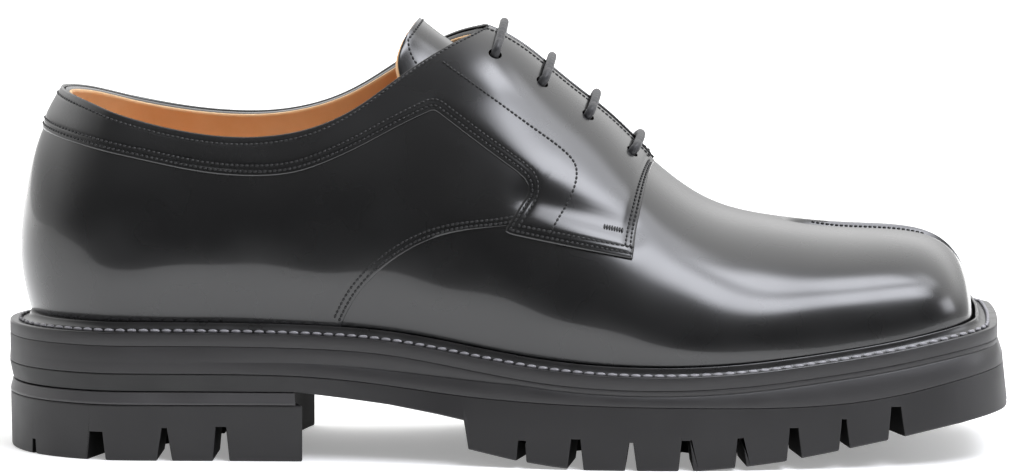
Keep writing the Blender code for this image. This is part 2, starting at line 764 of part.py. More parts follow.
def heel(materials, collection, cutters):
    """The heel's light lift and its lugged block, both hollowed along the breast."""
    rows = sole_rows([HEEL_LENGTH, HEEL_LENGTH + 3.0])
    last = int(np.argmin(np.abs(rows - row_at(HEEL_LENGTH + 3.0)))) + 1
    lift = add_object("heel_lift", slab(rows, heel_lift_profile, 0, last), materials[0], collection)
    block = slab(rows, heel_block_profile, 0, last)
    block = add_object("heel_block", block, materials[1], collection)
    cut(lift, breast_cutter("lift_breast", HEEL_LENGTH - LIFT_SETBACK, cutters))
    cut(block, breast_cutter("block_breast", HEEL_LENGTH, cutters))
    cut(block, groove_cutter("heel_grooves", HEEL_GROOVES, (), flat_ground, cutters))
    first, last = station_span(rows, HEEL_POCKET_X)
    pocket = slab(rows, heel_pocket_profile, first, last)
    cut(block, add_object("heel_pocket", pocket, None, cutters))
    join(block, cross_lugs("heel_crosses", HEEL_CROSSES, flat_ground, cutters))


def band_height(x):
    """Height of the overlay's lower edge at x."""
    collar = spline([r.x for r in BAND], [r.height for r in BAND], x)
    facing = np.interp(x, [r.x for r in FACING], [r.height for r in FACING])
    return np.where(x < BAND[-1].x, collar, facing)


OVERLAY_COLUMNS = 6
OVERLAY_X = (197.0, 190.0, 183.0, 176.0, 167.0, 159.0, 157.9, 157.4, 154.0, 149.0, 145.0,
             138.0, 130.0, 123.0, 115.0, 106.0, 97.0, 86.0, 75.0, 64.0, 53.0)


def overlay_turns(row, side):
    """Turns across the overlay, from its lower edge to the mouth."""
    low = turn_at_height(row, side, band_height(station(row, "edge_x")))
    high = mouth_turn(row, side)
    return low + (high - low) * np.linspace(0, 1, OVERLAY_COLUMNS + 1)


def overlay(material, collection, holes):
    """The facings and the collar band in one strip, laid over the upper."""
    heel_rows = np.linspace(HEEL_ROWS, 0, 2 * HEEL_ROWS + 1)
    strip = []
    for side in (LATERAL, MEDIAL):
        line = []
        for x in OVERLAY_X:
            row = float(row_at(x))
            turns = overlay_turns(row, side)
            height = plain_point(row, turns)[:, 2]
            drop = (FACING_SLANT_FROM - height) / (FACING_SLANT_FROM - FACING_SLANT_TO)
            rows = row_at(x - FACING_SLANT * np.clip(drop, 0, 1) * (x > BAND[-1].x))
            line.append(last_point(rows, turns, OVERLAY_GAP + OVERLAY))
        for row in heel_rows:
            line.append(last_point(row, overlay_turns(row, side), OVERLAY_GAP + OVERLAY))
        strip.append(line)
    points = np.array(strip[0] + strip[1][::-1][1:])
    bm = grid_sheet(points)
    bmesh.ops.recalc_face_normals(bm, faces=bm.faces)
    if sum(f.normal.y * f.calc_center_median().y for f in bm.faces) < 0:
        bmesh.ops.reverse_faces(bm, faces=bm.faces)
    thing = add_object("facing_and_collar", bm, material, collection)
    thicken(thing, OVERLAY)
    cut(thing, holes)
    return thing


def eyelet_place(x, side):
    """Row and turn of an eyelet."""
    row = float(row_at(x))
    return row, float(turn_at_width(row, side, EYELET_FROM_CENTRE))


def eyelet_cutter(collection):
    bm = bmesh.new()
    for x in EYELET_X:
        for side in (LATERAL, MEDIAL):
            row, turn = np.array(eyelet_place(x, side))
            place = last_point(row, turn)
            outward = normal_of(plain_point, row, turn)
            made = bmesh.ops.create_cone(
                bm,
                cap_ends=True,
                segments=8,
                radius1=EYELET_DIAMETER / 2,
                radius2=EYELET_DIAMETER / 2,
                depth=9.0,
            )["verts"]
            turn_to = Matrix.Translation(place) @ aim(outward)
            bmesh.ops.transform(bm, matrix=turn_to, verts=made)
    return add_object("eyelet_holes", bm, None, collection)


def aim(direction):
    """Rotation that turns +Z to a direction."""
    return Vector(direction).to_track_quat("Z", "Y").to_matrix().to_4x4()


def lace_bar(number, x, material, collection):
    """One straight bar of lace, arched over the throat from eyelet to eyelet."""
    widths = np.linspace(-EYELET_FROM_CENTRE, EYELET_FROM_CENTRE, 11)
    lift = OVERLAY_GAP + OVERLAY + 0.4 + LACE_DIAMETER / 2
    path = []
    for width in widths:
        lean = BAR_LEAN * (1 - (width / EYELET_FROM_CENTRE) ** 2)
        row = np.array(row_at(x + lean))
        side = LATERAL if width < 0 else MEDIAL
        turn = np.array(turn_at_width(row, side, abs(width)))
        path.append(last_point(row, turn, lift))
    curve = bpy.data.curves.new(f"lace_bar_{number}", "CURVE")
    curve.dimensions = "3D"
    curve.bevel_depth = LACE_DIAMETER / 2 * MM
    curve.bevel_resolution = 2
    curve.use_fill_caps = True
    line = curve.splines.new("POLY")
    line.points.add(len(path) - 1)
    for point, place in zip(line.points, path):
        point.co = (*((place - (MIDDLE_X, 0, 0)) * MM), 1)
    curve.materials.append(material)
    collection.objects.link(bpy.data.objects.new(curve.name, curve))


def tongue(material, collection):
    """The tongue: a sheet arched across the foot, from under the vamp to its free end."""
    folds = np.array(TONGUE)
    centre, half_width, drop = folds[:, :3], folds[:, 3, None], folds[:, 4, None]
    along = np.gradient(centre, axis=0)
    up = np.column_stack([along[:, 2], np.zeros(len(folds)), -along[:, 0]])
    up /= np.linalg.norm(up, axis=-1)[:, None]
    angle = np.linspace(-TONGUE_ARCH, TONGUE_ARCH, 13)[None, :]
    aside = half_width * np.sin(angle) / math.sin(TONGUE_ARCH)
    below = drop * (1 - np.cos(angle)) / (1 - math.cos(TONGUE_ARCH))
    points = centre[:, None] + aside[..., None] * np.array([0.0, 1.0, 0.0])
    points = points - up[:, None] * below[..., None]
    bm = grid_sheet(points)
    bmesh.ops.recalc_face_normals(bm, faces=bm.faces)
    if sum(f.normal.z for f in bm.faces) < 0:
        bmesh.ops.reverse_faces(bm, faces=bm.faces)
    thing = add_object("tongue", bm, material, collection)
    thicken(thing, TONGUE_THICKNESS)


def toe_notch(collection):
    """A narrow wedge at the toe split, which cuts the welt."""
    bm = bmesh.new()
    bmesh.ops.create_cone(bm, cap_ends=True, segments=3, radius1=8, radius2=8, depth=40)
    bmesh.ops.scale(bm, vec=(1.2, 0.35, 1), verts=bm.verts)
    bmesh.ops.rotate(bm, matrix=Matrix.Rotation(math.pi / 2, 3, "Z"), verts=bm.verts)
    place = (SOLE_LENGTH - 2.0, station(LAST_ROW, "spine_y"), 40.0)
    bmesh.ops.translate(bm, verts=bm.verts, vec=place)
    return add_object("toe_notch", bm, None, collection)


def main():
    for thing in list(bpy.data.objects):
        bpy.data.objects.remove(thing)
    shoe = bpy.data.collections.new("split_toe_shoe")
    cutters = bpy.data.collections.new("cutters")
    for collection in (shoe, cutters):
        bpy.context.scene.collection.children.link(collection)
    leather = add_material("polished_leather", (0.012, 0.012, 0.013), 0.18)
    facing = add_material("facing_leather", (0.013, 0.013, 0.014), 0.2)
    lining = add_material("tongue_leather", (0.014, 0.013, 0.013), 0.3)
    rubber = add_material("tread_rubber", (0.022, 0.021, 0.022), 0.5)
    block_rubber = add_material("heel_rubber", (0.022, 0.021, 0.022), 0.5)
    lift_rubber = add_material("lift_rubber", (0.06, 0.06, 0.062), 0.5)
    midsole_rubber = add_material("midsole_rubber", (0.018, 0.018, 0.019), 0.4)
    welt_strip = add_material("welt_strip", (0.02, 0.02, 0.021), 0.35)
    board = add_material("insole_leather", (0.35, 0.17, 0.06), 0.5)
    cord = add_material("lace_cord", (0.02, 0.02, 0.022), 0.5)
    rows = sole_rows()
    holes = eyelet_cutter(cutters)
    outsole(rubber, shoe, cutters)
    heel((lift_rubber, block_rubber), shoe, cutters)
    add_object("midsole", slab(rows, midsole_profile), midsole_rubber, shoe)
    cut(welt(welt_strip, shoe), toe_notch(cutters))
    add_object("insole", slab(rows, insole_profile), board, shoe)
    cut(upper(leather, shoe), holes)
    overlay(facing, shoe, holes)
    tongue(lining, shoe)
    for number, x in enumerate(EYELET_X, 1):
        lace_bar(number, x, cord, shoe)


main()
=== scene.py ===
# %% [markdown]
# # A split toe lace-up shoe
# The shoe is a black polished derby for a right foot. Its two lace facings lie on top of the
# vamp, the toe is split beside the big toe, and everything stands on a thick lugged rubber sole.
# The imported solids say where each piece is. Here each piece is modelled again in the same sizes,
# but finer, with its stitches, its lining and its finish.

import math

import bmesh
import bpy
import numpy as np
from mathutils import Matrix, Vector


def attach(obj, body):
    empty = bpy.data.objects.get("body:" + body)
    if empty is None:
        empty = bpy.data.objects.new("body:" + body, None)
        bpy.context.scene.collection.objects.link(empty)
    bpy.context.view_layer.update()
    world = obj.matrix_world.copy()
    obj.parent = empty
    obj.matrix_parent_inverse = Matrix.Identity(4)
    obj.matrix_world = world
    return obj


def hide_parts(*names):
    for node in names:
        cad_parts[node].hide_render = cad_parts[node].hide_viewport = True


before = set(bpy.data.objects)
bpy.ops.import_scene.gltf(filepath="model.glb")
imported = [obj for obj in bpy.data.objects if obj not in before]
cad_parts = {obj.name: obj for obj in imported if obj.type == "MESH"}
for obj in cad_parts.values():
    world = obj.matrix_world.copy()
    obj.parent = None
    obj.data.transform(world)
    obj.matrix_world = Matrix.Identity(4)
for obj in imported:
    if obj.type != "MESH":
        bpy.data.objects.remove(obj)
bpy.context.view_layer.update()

# %% [markdown]
# ## Camera
# A product photo like this one is taken with a long lens from a little above the table, so the
# shoe's sides stay nearly parallel. A camera needs only four things for that: where it looks,
# from which direction, how far away it is, and how many millimetres fill the picture's width.
# The lens follows from the last two.

# %% Camera
MM = 0.001
VIEW_TARGET = (1.7, 0.0, 63.8)
VIEW_AZIMUTH, VIEW_ELEVATION = 1.0, 6.3
VIEW_DISTANCE, VIEW_WIDTH = 1500.0, 315.4


def add_object(name, data):
    """Puts a camera, a light or a mesh in the scene as a new object."""
    new = bpy.data.objects.new(name, data)
    bpy.context.scene.collection.objects.link(new)
    return new


def place_camera():
    """A camera that looks at the target from the photograph's side."""
    around, above = math.radians(VIEW_AZIMUTH), math.radians(VIEW_ELEVATION)
    back = Vector((
        math.sin(around) * math.cos(above),
        -math.cos(around) * math.cos(above),
        math.sin(above),
    ))
    data = bpy.data.cameras.new("camera")
    data.lens = data.sensor_width * VIEW_DISTANCE / VIEW_WIDTH
    camera = add_object("camera", data)
    camera.location = (Vector(VIEW_TARGET) + back * VIEW_DISTANCE) * MM
    camera.rotation_euler = (-back).to_track_quat("-Z", "Y").to_euler()
    bpy.context.scene.camera = camera
    print("lens", round(data.lens, 1), "mm")


place_camera()

# %% [markdown]
# ## The last
# A shoemaker stretches the leather over a last, a wooden foot, so every leather piece follows one
# surface. It could be sculpted, but a short table of sections keeps it exact: each row gives a
# section's two bottom edges, its crest and how round it is, and a spline runs through the rows.
# Every piece below asks this one surface where it lies.

# %% The last's sections
LATERAL, MEDIAL = -1, 1
MIDDLE_X = 152.0
WALL = 1.4
WELT_THICKNESS = 3.2
GAP = 0.3
HEEL_BACK_X = 8.6
HEEL_SPINE_X = 45.0
HEEL_ROWS = 4
LOWER_SHARE = 0.25

STATION_COLUMNS = "edge_x lateral medial medial_lead spine_x spine_y crest belly bulge full".split()
STATIONS = [
    (42.0, 30.2, 30.2, 0.0, 45.0, 0.0, 126.6, 25.0, 5.6, 2.00),
    (70.0, 30.8, 29.2, 0.0, 70.0, 0.0, 126.2, 25.0, 5.5, 2.00),
    (98.0, 32.4, 27.2, 0.0, 98.0, 0.0, 128.5, 25.0, 5.2, 1.95),
    (122.0, 35.4, 28.0, 0.0, 122.0, 0.0, 131.5, 24.0, 4.8, 1.90),
    (146.0, 41.0, 33.0, 0.0, 146.0, 0.0, 129.4, 22.5, 4.4, 1.86),
    (165.0, 45.0, 38.6, 0.0, 165.0, 0.0, 116.6, 20.0, 4.6, 1.84),
    (182.0, 47.0, 43.2, 0.0, 182.0, 0.3, 102.4, 16.5, 4.8, 1.86),
    (197.0, 47.6, 46.2, 0.2, 197.0, 1.0, 88.0, 13.0, 4.8, 1.92),
    (212.0, 47.2, 47.6, 0.3, 212.0, 2.2, 76.8, 10.2, 4.6, 2.00),
    (228.0, 45.8, 47.6, 0.5, 228.0, 4.0, 71.2, 8.4, 4.2, 2.10),
    (246.0, 43.4, 46.4, 0.8, 246.0, 6.2, 68.6, 7.4, 3.6, 2.25),
    (264.0, 40.7, 44.9, 1.1, 264.0, 8.0, 67.2, 6.8, 3.0, 2.40),
    (279.0, 36.8, 41.9, 1.3, 279.5, 9.2, 65.4, 6.4, 2.6, 2.45),
    (287.6, 32.4, 38.6, 1.5, 288.6, 9.8, 61.0, 5.6, 2.0, 2.40),
    (291.8, 28.0, 35.0, 1.5, 293.4, 10.0, 54.4, 4.4, 1.4, 2.30),
    (293.6, 24.2, 31.6, 1.5, 295.2, 10.0, 46.6, 2.6, 0.8, 2.15),
    (294.4, 20.6, 28.4, 1.5, 295.6, 10.0, 38.0, 0.4, 0.2, 2.00),
]

# Height of the collar's edge above the floor: x, lateral side, medial side.
COLLAR = np.array([
    (8.6, 110.0, 110.0), (17.0, 108.2, 108.6), (30.0, 104.8, 105.6), (42.0, 101.6, 103.2),
    (56.0, 98.6, 101.0), (70.0, 97.1, 100.1), (84.0, 97.8, 101.2), (98.0, 101.2, 105.0),
    (110.0, 107.4, 111.2), (122.0, 115.8, 118.8), (131.0, 121.4, 123.4), (138.0, 124.9, 126.2),
    (144.0, 127.2, 127.8), (150.0, 129.4, 129.6),
])

# The sole's layers: x, welt top, rib, midsole bottom, welt reach, step, flare.
LAYER_COLUMNS = "x welt_top rib midsole_bottom welt_reach step flare".split()
LAYERS = np.array([
    (8.6, 38.2, 30.2, 26.6, 9.8, 0.2, -0.9),
    (42.0, 38.2, 30.2, 26.6, 8.9, 0.2, -0.9),
    (72.0, 38.1, 30.1, 26.5, 8.6, 0.2, -0.8),
    (95.0, 37.6, 29.8, 25.8, 7.9, 0.2, -0.5),
    (117.0, 36.2, 28.2, 23.8, 7.4, 0.2, 0.3),
    (139.0, 33.0, 26.3, 21.4, 7.0, 0.2, 1.0),
    (168.0, 28.6, 24.3, 19.6, 7.0, 0.2, 1.3),
    (190.0, 27.2, 23.6, 19.0, 7.0, 0.3, 1.4),
    (206.0, 27.2, 23.6, 18.8, 7.0, 0.4, 1.4),
    (227.0, 28.5, 24.7, 18.6, 7.0, 0.6, 1.4),
    (248.0, 31.0, 26.9, 19.2, 6.9, 0.9, 1.4),
    (269.0, 34.2, 30.4, 21.9, 6.7, 1.2, 1.4),
    (285.0, 37.4, 33.8, 25.8, 6.8, 1.5, 1.4),
    (307.0, 42.2, 38.6, 32.6, 7.8, 1.8, 1.4),
])

print(len(STATIONS), "stations and", len(LAYERS), "rows of layers")


# %% Splines through the sections
def spline(knots, values, at, level_start=False):
    """Cubic spline through the values; level_start gives it no slope at the first knot."""
    knots, values = np.asarray(knots, float), np.asarray(values, float)
    count, step = len(knots), np.diff(knots)
    system, right = np.eye(count), np.zeros(count)
    slope = np.diff(values) / step
    for i in range(1, count - 1):
        system[i, i - 1 : i + 2] = step[i - 1], 2 * (step[i - 1] + step[i]), step[i]
        right[i] = 6 * (slope[i] - slope[i - 1])
    if level_start:
        system[0, :2] = 2 * step[0], step[0]
        right[0] = 6 * slope[0]
    bend = np.linalg.solve(system, right)
    at = np.clip(at, knots[0], knots[-1])
    i = np.clip(np.searchsorted(knots, at, side="right") - 1, 0, count - 2)
    a = (knots[i + 1] - at) / step[i]
    b = 1 - a
    curve = (a**3 - a) * bend[i] + (b**3 - b) * bend[i + 1]
    return a * values[i] + b * values[i + 1] + curve * step[i] ** 2 / 6


def with_heel(stations):
    """The stations with the rounded heel's rows put in front of them, as a table of columns."""
    side = dict(zip(STATION_COLUMNS, stations[0]))
    rows = []
    for i in range(HEEL_ROWS):
        angle = math.pi / 2 * i / HEEL_ROWS
        back = (side["edge_x"] - HEEL_BACK_X) * math.cos(angle)
        rows.append(dict(
            side,
            edge_x=side["edge_x"] - back,
            lateral=side["lateral"] * math.sin(angle),
            medial=side["medial"] * math.sin(angle),
            spine_x=HEEL_SPINE_X,
            crest=side["crest"] + 1.2 * math.cos(angle),
        ))
    rows += [dict(zip(STATION_COLUMNS, row)) for row in stations]
    return {column: np.array([row[column] for row in rows]) for column in STATION_COLUMNS}


LAST_TABLE = with_heel(STATIONS)
LAST_ROW = len(LAST_TABLE["edge_x"]) - 1
ROW_NUMBERS = np.arange(LAST_ROW + 1)


def station(row, column):
    """One column of the last's table at a row number, which may lie between two rows."""
    level = column not in ("lateral", "medial")
    return spline(ROW_NUMBERS, LAST_TABLE[column], row, level_start=level)


FINE_ROWS = np.linspace(0, LAST_ROW, 1200)
FINE_EDGE_X = np.maximum.accumulate(station(FINE_ROWS, "edge_x"))


def row_at(x):
    """The row number whose bottom edge is at x."""
    return np.interp(x, FINE_EDGE_X, FINE_ROWS)


def layer(x, column):
    """A height or width of the sole's layers at x."""
    return spline(LAYERS[:, 0], LAYERS[:, LAYER_COLUMNS.index(column)], x)


print("last", LAST_ROW + 1, "sections")

# %% [markdown]
# ## Points on the last
# A place on the last is a row number along the foot and a turn across it: -1 at the lateral
# bottom edge, 0 on the crest, 1 at the medial edge. The section is an egg shape with a belly, so
# one formula gives its width and height. The toe split is a soft trough pressed into it along
# the spine, steep on the big toe's side, where the photograph shows a sharp stitched edge.
# Leather on a last is never quite even: a soft trough across the foot of the facing and very
# shallow waves all over are what makes its long reflections break and wander.

# %% The last's surface
CLEFT_START_X = 234.0
CLEFT_RUN = 22.0
CLEFT_DEPTH = 8.5
CLEFT_LATERAL_REACH = 9.0
CLEFT_MEDIAL_REACH = 4.2
# The trough's two ends as x and height, its depth at each, and its half width.
FACING_TROUGH = np.array([(159.0, 80.6), (189.0, 70.6)])
TROUGH_DEPTHS, TROUGH_REACH = (1.33, 0.855), 4.6
# Wave lengths along and up the shoe, and where each wave starts.
WAVES = [(31.0, 47.0, 0.4), (53.0, -29.0, 1.9), (-67.0, 41.0, 4.1)]
WAVE_HEIGHT = 0.06
# The unevenness starts this far above the welt and is full so much higher.
UNEVEN_FROM, UNEVEN_RUN = 6.0, 12.0
print("toe split", CLEFT_DEPTH, "mm deep, from x =", CLEFT_START_X)


def frame_of(row, side):
    """Sizes of one side of a section: its spine, edge, heights and roundness."""
    half = np.where(side < 0, -station(row, "lateral"), station(row, "medial"))
    lead = np.where(side < 0, 0.0, station(row, "medial_lead"))
    spine = np.stack([station(row, "spine_x"), station(row, "spine_y")], -1)
    edge = np.stack([station(row, "edge_x") + lead, half], -1)
    edge_z = layer(edge[..., 0], "welt_top") - WELT_THICKNESS + GAP
    crest = np.maximum(station(row, "crest"), edge_z + 0.4)
    belly = np.minimum(station(row, "belly"), 0.5 * (crest - edge_z))
    return spine, edge, edge_z, crest, belly, station(row, "bulge"), station(row, "full")


def plain_point(row, turn):
    """Point of the last without its toe split."""
    row, turn = np.broadcast_arrays(np.asarray(row, float), np.asarray(turn, float))
    spine, edge, edge_z, crest, belly, bulge, full = frame_of(row, turn)
    out = edge - spine
    reach = np.linalg.norm(out, axis=-1)
    out = out / np.maximum(reach, 1e-9)[..., None]
    rise = 1 - np.abs(turn)
    low = np.clip(rise / LOWER_SHARE, 0, 1)
    angle = np.clip((rise - LOWER_SHARE) / (1 - LOWER_SHARE), 0, 1) * math.pi / 2
    away = np.where(
        rise < LOWER_SHARE,
        reach + bulge * (1 - (1 - low) ** 2),
        (reach + bulge) * np.clip(np.cos(angle), 0, 1) ** (2 / full),
    )
    height = np.where(
        rise < LOWER_SHARE,
        edge_z + belly * low,
        edge_z + belly + (crest - edge_z - belly) * np.sin(angle) ** (2 / full),
    )
    return np.concatenate([spine + out * away[..., None], height[..., None]], -1)


print("plain crest at the ball", np.round(plain_point(row_at(200.0), 0.0), 1))


# %% Normals, toe split and unevenness
def unit(vectors):
    """The vectors at a length of one."""
    return vectors / np.maximum(np.linalg.norm(vectors, axis=-1), 1e-12)[..., None]


def normal_of(surface, row, turn):
    """Outward normal of a surface that takes a row and a turn."""
    d_row, d_turn = 0.02, 0.002
    ahead = surface(np.minimum(row + d_row, LAST_ROW), turn)
    behind = surface(np.maximum(row - d_row, 0), turn)
    left = surface(row, np.clip(turn - d_turn, -1, 1))
    right = surface(row, np.clip(turn + d_turn, -1, 1))
    return unit(np.cross(ahead - behind, right - left))


def ramp(value, start, run):
    """A share that grows from 0 at the start to 1 at the run's end."""
    return np.clip((value - start) / run, 0, 1)


def ease(share):
    """The same share, but slow at both ends."""
    return share * share * (3 - 2 * share)


def cleft_depth(point, row):
    """How far the toe split pulls a point of the last inwards."""
    aside = point[..., 1] - station(row, "spine_y")
    lateral = np.clip(1 + aside / CLEFT_LATERAL_REACH, 0, 1) ** 2
    medial = np.clip(1 - aside / CLEFT_MEDIAL_REACH, 0, 1) ** 1.25
    along = ramp(point[..., 0], CLEFT_START_X, CLEFT_RUN)
    return CLEFT_DEPTH * np.where(aside < 0, lateral, medial) * ease(along)


def unevenness(point, bottom):
    """How far the trough and the waves move a point of the last outwards."""
    side_view = point[..., [0, 2]]
    start, along = FACING_TROUGH[0], FACING_TROUGH[1] - FACING_TROUGH[0]
    share = np.clip((side_view - start) @ along / (along @ along), 0, 1)
    away = np.linalg.norm(side_view - start - share[..., None] * along, axis=-1)
    depth = TROUGH_DEPTHS[0] + (TROUGH_DEPTHS[1] - TROUGH_DEPTHS[0]) * share
    trough = depth * np.exp(-((away / TROUGH_REACH) ** 2))
    waves = sum(
        np.sin(2 * math.pi * (side_view[..., 0] / length + side_view[..., 1] / rise) + start_at)
        for length, rise, start_at in WAVES
    )
    above_welt = ramp(point[..., 2] - bottom, UNEVEN_FROM, UNEVEN_RUN)
    return above_welt * (WAVE_HEIGHT * waves - trough)


def split_point(row, turn):
    """Point of the last with its toe split, its trough and its waves."""
    base = plain_point(row, turn)
    inwards = cleft_depth(base, row) - unevenness(base, frame_of(row, turn)[2])
    moved = base - normal_of(plain_point, row, turn) * inwards[..., None]
    moved[..., 2] = np.maximum(moved[..., 2], frame_of(row, turn)[2])
    return moved


def last_point(row, turn, offset=0.0):
    """Point that far outside the upper's outer face."""
    row, turn = np.broadcast_arrays(np.asarray(row, float), np.asarray(turn, float))
    point = split_point(row, turn)
    if np.any(offset):
        shift = np.broadcast_to(np.asarray(offset, float), row.shape)
        point = point + normal_of(split_point, row, turn) * shift[..., None]
    return point


print("split's floor at x = 270", np.round(last_point(row_at(270.0), 0.0), 1))


# %% Turns by width and height
def turn_at_width(row, side, width):
    """The turn where a section is that wide from its spine."""
    spine, edge, _, _, _, bulge, full = frame_of(row, side)
    widest = np.linalg.norm(edge - spine, axis=-1) + bulge
    angle = np.arccos(np.clip(width / widest, 0, 1) ** (full / 2))
    return side * (1 - LOWER_SHARE) * (1 - angle / (math.pi / 2))


def turn_at_height(row, side, height):
    """The turn where a section reaches that height."""
    _, _, edge_z, crest, belly, _, full = frame_of(row, side)
    share = (height - edge_z - belly) / np.maximum(crest - edge_z - belly, 1e-6)
    angle = np.arcsin(np.clip(share, 0, 1) ** (full / 2))
    high = LOWER_SHARE + (1 - LOWER_SHARE) * angle / (math.pi / 2)
    low = LOWER_SHARE * np.clip((height - edge_z) / belly, 0, 1)
    return side * (1 - np.where(share > 0, high, low))


print("turn 60 mm up at the ball", np.round(turn_at_height(row_at(200.0), LATERAL, 60.0), 2))

# %% The mouth's edge
THROAT_HALF_GAP = 6.5
THROAT_FRONT_X = 192.0
LACE_CORNER_X = 150.0


def mouth_turn(row, side):
    """The turn of the collar's or the throat's edge."""
    x = station(row, "edge_x")
    height = spline(COLLAR[:, 0], COLLAR[:, 1 if side < 0 else 2], x)
    throat = np.abs(turn_at_width(row, side, THROAT_HALF_GAP))
    collar = np.where(x < LACE_CORNER_X, np.abs(turn_at_height(row, side, height)), 0.0)
    return side * np.maximum(collar, throat)


print("throat's edge at x = 180 at turn", np.round(mouth_turn(row_at(180.0), LATERAL), 2))

# %% [markdown]
# ## Making pieces
# Leather is a sheet, so most pieces start as a grid whose vertices are laid on the last. A Solidify
# modifier then gives the sheet its thickness, and a Bevel rounds its cut edges, because an edge
# only looks real when it catches a thin line of light. One function puts a piece in the scene,
# hangs it under the root and hides the imported part that it stands for.

# %% Helpers for pieces
TO_METRES = Matrix.Translation((-MIDDLE_X * MM, 0, 0)) @ Matrix.Scale(MM, 4)
print("the tables' x = 0 lies at", round(TO_METRES.translation.x, 3), "m")


def made_mesh(name, bm):
    """Turns a bmesh into a mesh and lets the bmesh go."""
    mesh = bpy.data.meshes.new(name)
    bm.to_mesh(mesh)
    bm.free()
    return mesh


def grid_sheet(points):
    """A bmesh sheet whose grid of vertices lies on the points, given row by row."""
    rows, columns = points.shape[:2]
    bm = bmesh.new()
    bmesh.ops.create_grid(bm, x_segments=columns - 1, y_segments=rows - 1, size=1)
    bm.verts.ensure_lookup_table()
    for vert, place in zip(bm.verts, points.reshape(-1, 3)):
        vert.co = place
    return bm


def face_outwards(bm, outward=None):
    """Turns the faces outwards: a sheet's by a rough direction, a closed shape's by its volume."""
    bmesh.ops.recalc_face_normals(bm, faces=bm.faces)
    if outward:
        agree = sum(f.normal.dot(outward(f.calc_center_median())) for f in bm.faces)
    else:
        agree = bm.calc_volume(signed=True)
    if agree < 0:
        bmesh.ops.reverse_faces(bm, faces=bm.faces)


def away_from_foot(place):
    """Roughly outwards from the middle of the foot."""
    return Vector((0.0, place.y, 0.4 * (place.z - 50)))


# %% From sheet to piece
EDGE_ANGLE = 55
print("a bevel rounds edges of more than", EDGE_ANGLE, "degrees")


def add_piece(name, bm, materials, node=None, sharp=38):
    """Makes the bmesh a piece of the shoe."""
    bmesh.ops.transform(bm, matrix=TO_METRES, verts=bm.verts)
    mesh = made_mesh(name, bm)
    mesh.shade_smooth()
    mesh.set_sharp_from_angle(angle=math.radians(sharp))
    for material in materials:
        mesh.materials.append(material)
    piece = add_object(name, mesh)
    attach(piece, "root")
    if node:
        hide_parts(node)
    print(name, len(mesh.polygons), "faces")
    return piece


def thicken(piece, thickness, edge=0.25):
    """Gives a leather sheet its wall, inwards from its face, and rounds its cut edges."""
    wall = piece.modifiers.new("wall", "SOLIDIFY")
    wall.thickness = thickness * MM
    wall.offset = -1
    wall.use_even_offset = False
    if edge:
        rounding = piece.modifiers.new("edge", "BEVEL")
        rounding.width = edge * MM
        rounding.segments = 2
        rounding.limit_method = "ANGLE"
        rounding.angle_limit = math.radians(EDGE_ANGLE)


def cut(piece, cutter, operation="DIFFERENCE"):
    """Cuts one object out of a piece, or joins it on."""
    change = piece.modifiers.new("cut", "BOOLEAN")
    change.object, change.operation, change.solver = cutter, operation, "EXACT"


def settle(piece, *helpers, crumb=0.0):
    """Applies a piece's modifiers and removes the objects that they used. Points closer than
    crumb, in mm, are leavings of a cut and are merged."""
    graph = bpy.context.evaluated_depsgraph_get()
    mesh = bpy.data.meshes.new_from_object(piece.evaluated_get(graph))
    if crumb:
        bm = bmesh.new()
        bm.from_mesh(mesh)
        bmesh.ops.remove_doubles(bm, verts=bm.verts, dist=crumb * MM)
        bm.to_mesh(mesh)
        bm.free()
    piece.modifiers.clear()
    old, piece.data = piece.data, mesh
    mesh.name = piece.name
    bpy.data.meshes.remove(old)
    for helper in helpers:
        bpy.data.objects.remove(helper)
    print(piece.name, "settled with", len(mesh.polygons), "faces")


# %% [markdown]
# ## Finishes
# Each finish is a Principled shader with a few procedural nodes. Colours are written as the hex
# values seen on a screen and turned to linear light by one function. Patterns read Object
# coordinates, which are metres here, so a noise scale is one divided by the real size in metres.
# A piece may also carry an attribute, a number stored at each vertex: where the attribute of
# painted shade is there, the finish gets darker by it, and on pieces without it the number is zero.

# %% Helpers for finishes
# The near black of painted shade.
PAINTED_SHADE_COLOUR = "#080808"


def linear(colour):
    """An sRGB hex colour as linear red, green, blue and alpha."""
    shares = [int(colour[i : i + 2], 16) / 255 for i in (1, 3, 5)]
    return (*(c / 12.92 if c <= 0.04045 else ((c + 0.055) / 1.055) ** 2.4 for c in shares), 1.0)


def add_node(tree, kind, inputs, **settings):
    """A node with its settings; an input is a value or another node's output."""
    node = tree.nodes.new(kind)
    for name, value in settings.items():
        setattr(node, name, value)
    for name, value in inputs.items():
        if isinstance(value, bpy.types.NodeSocket):
            tree.links.new(value, node.inputs[name])
        else:
            node.inputs[name].default_value = value
    return node


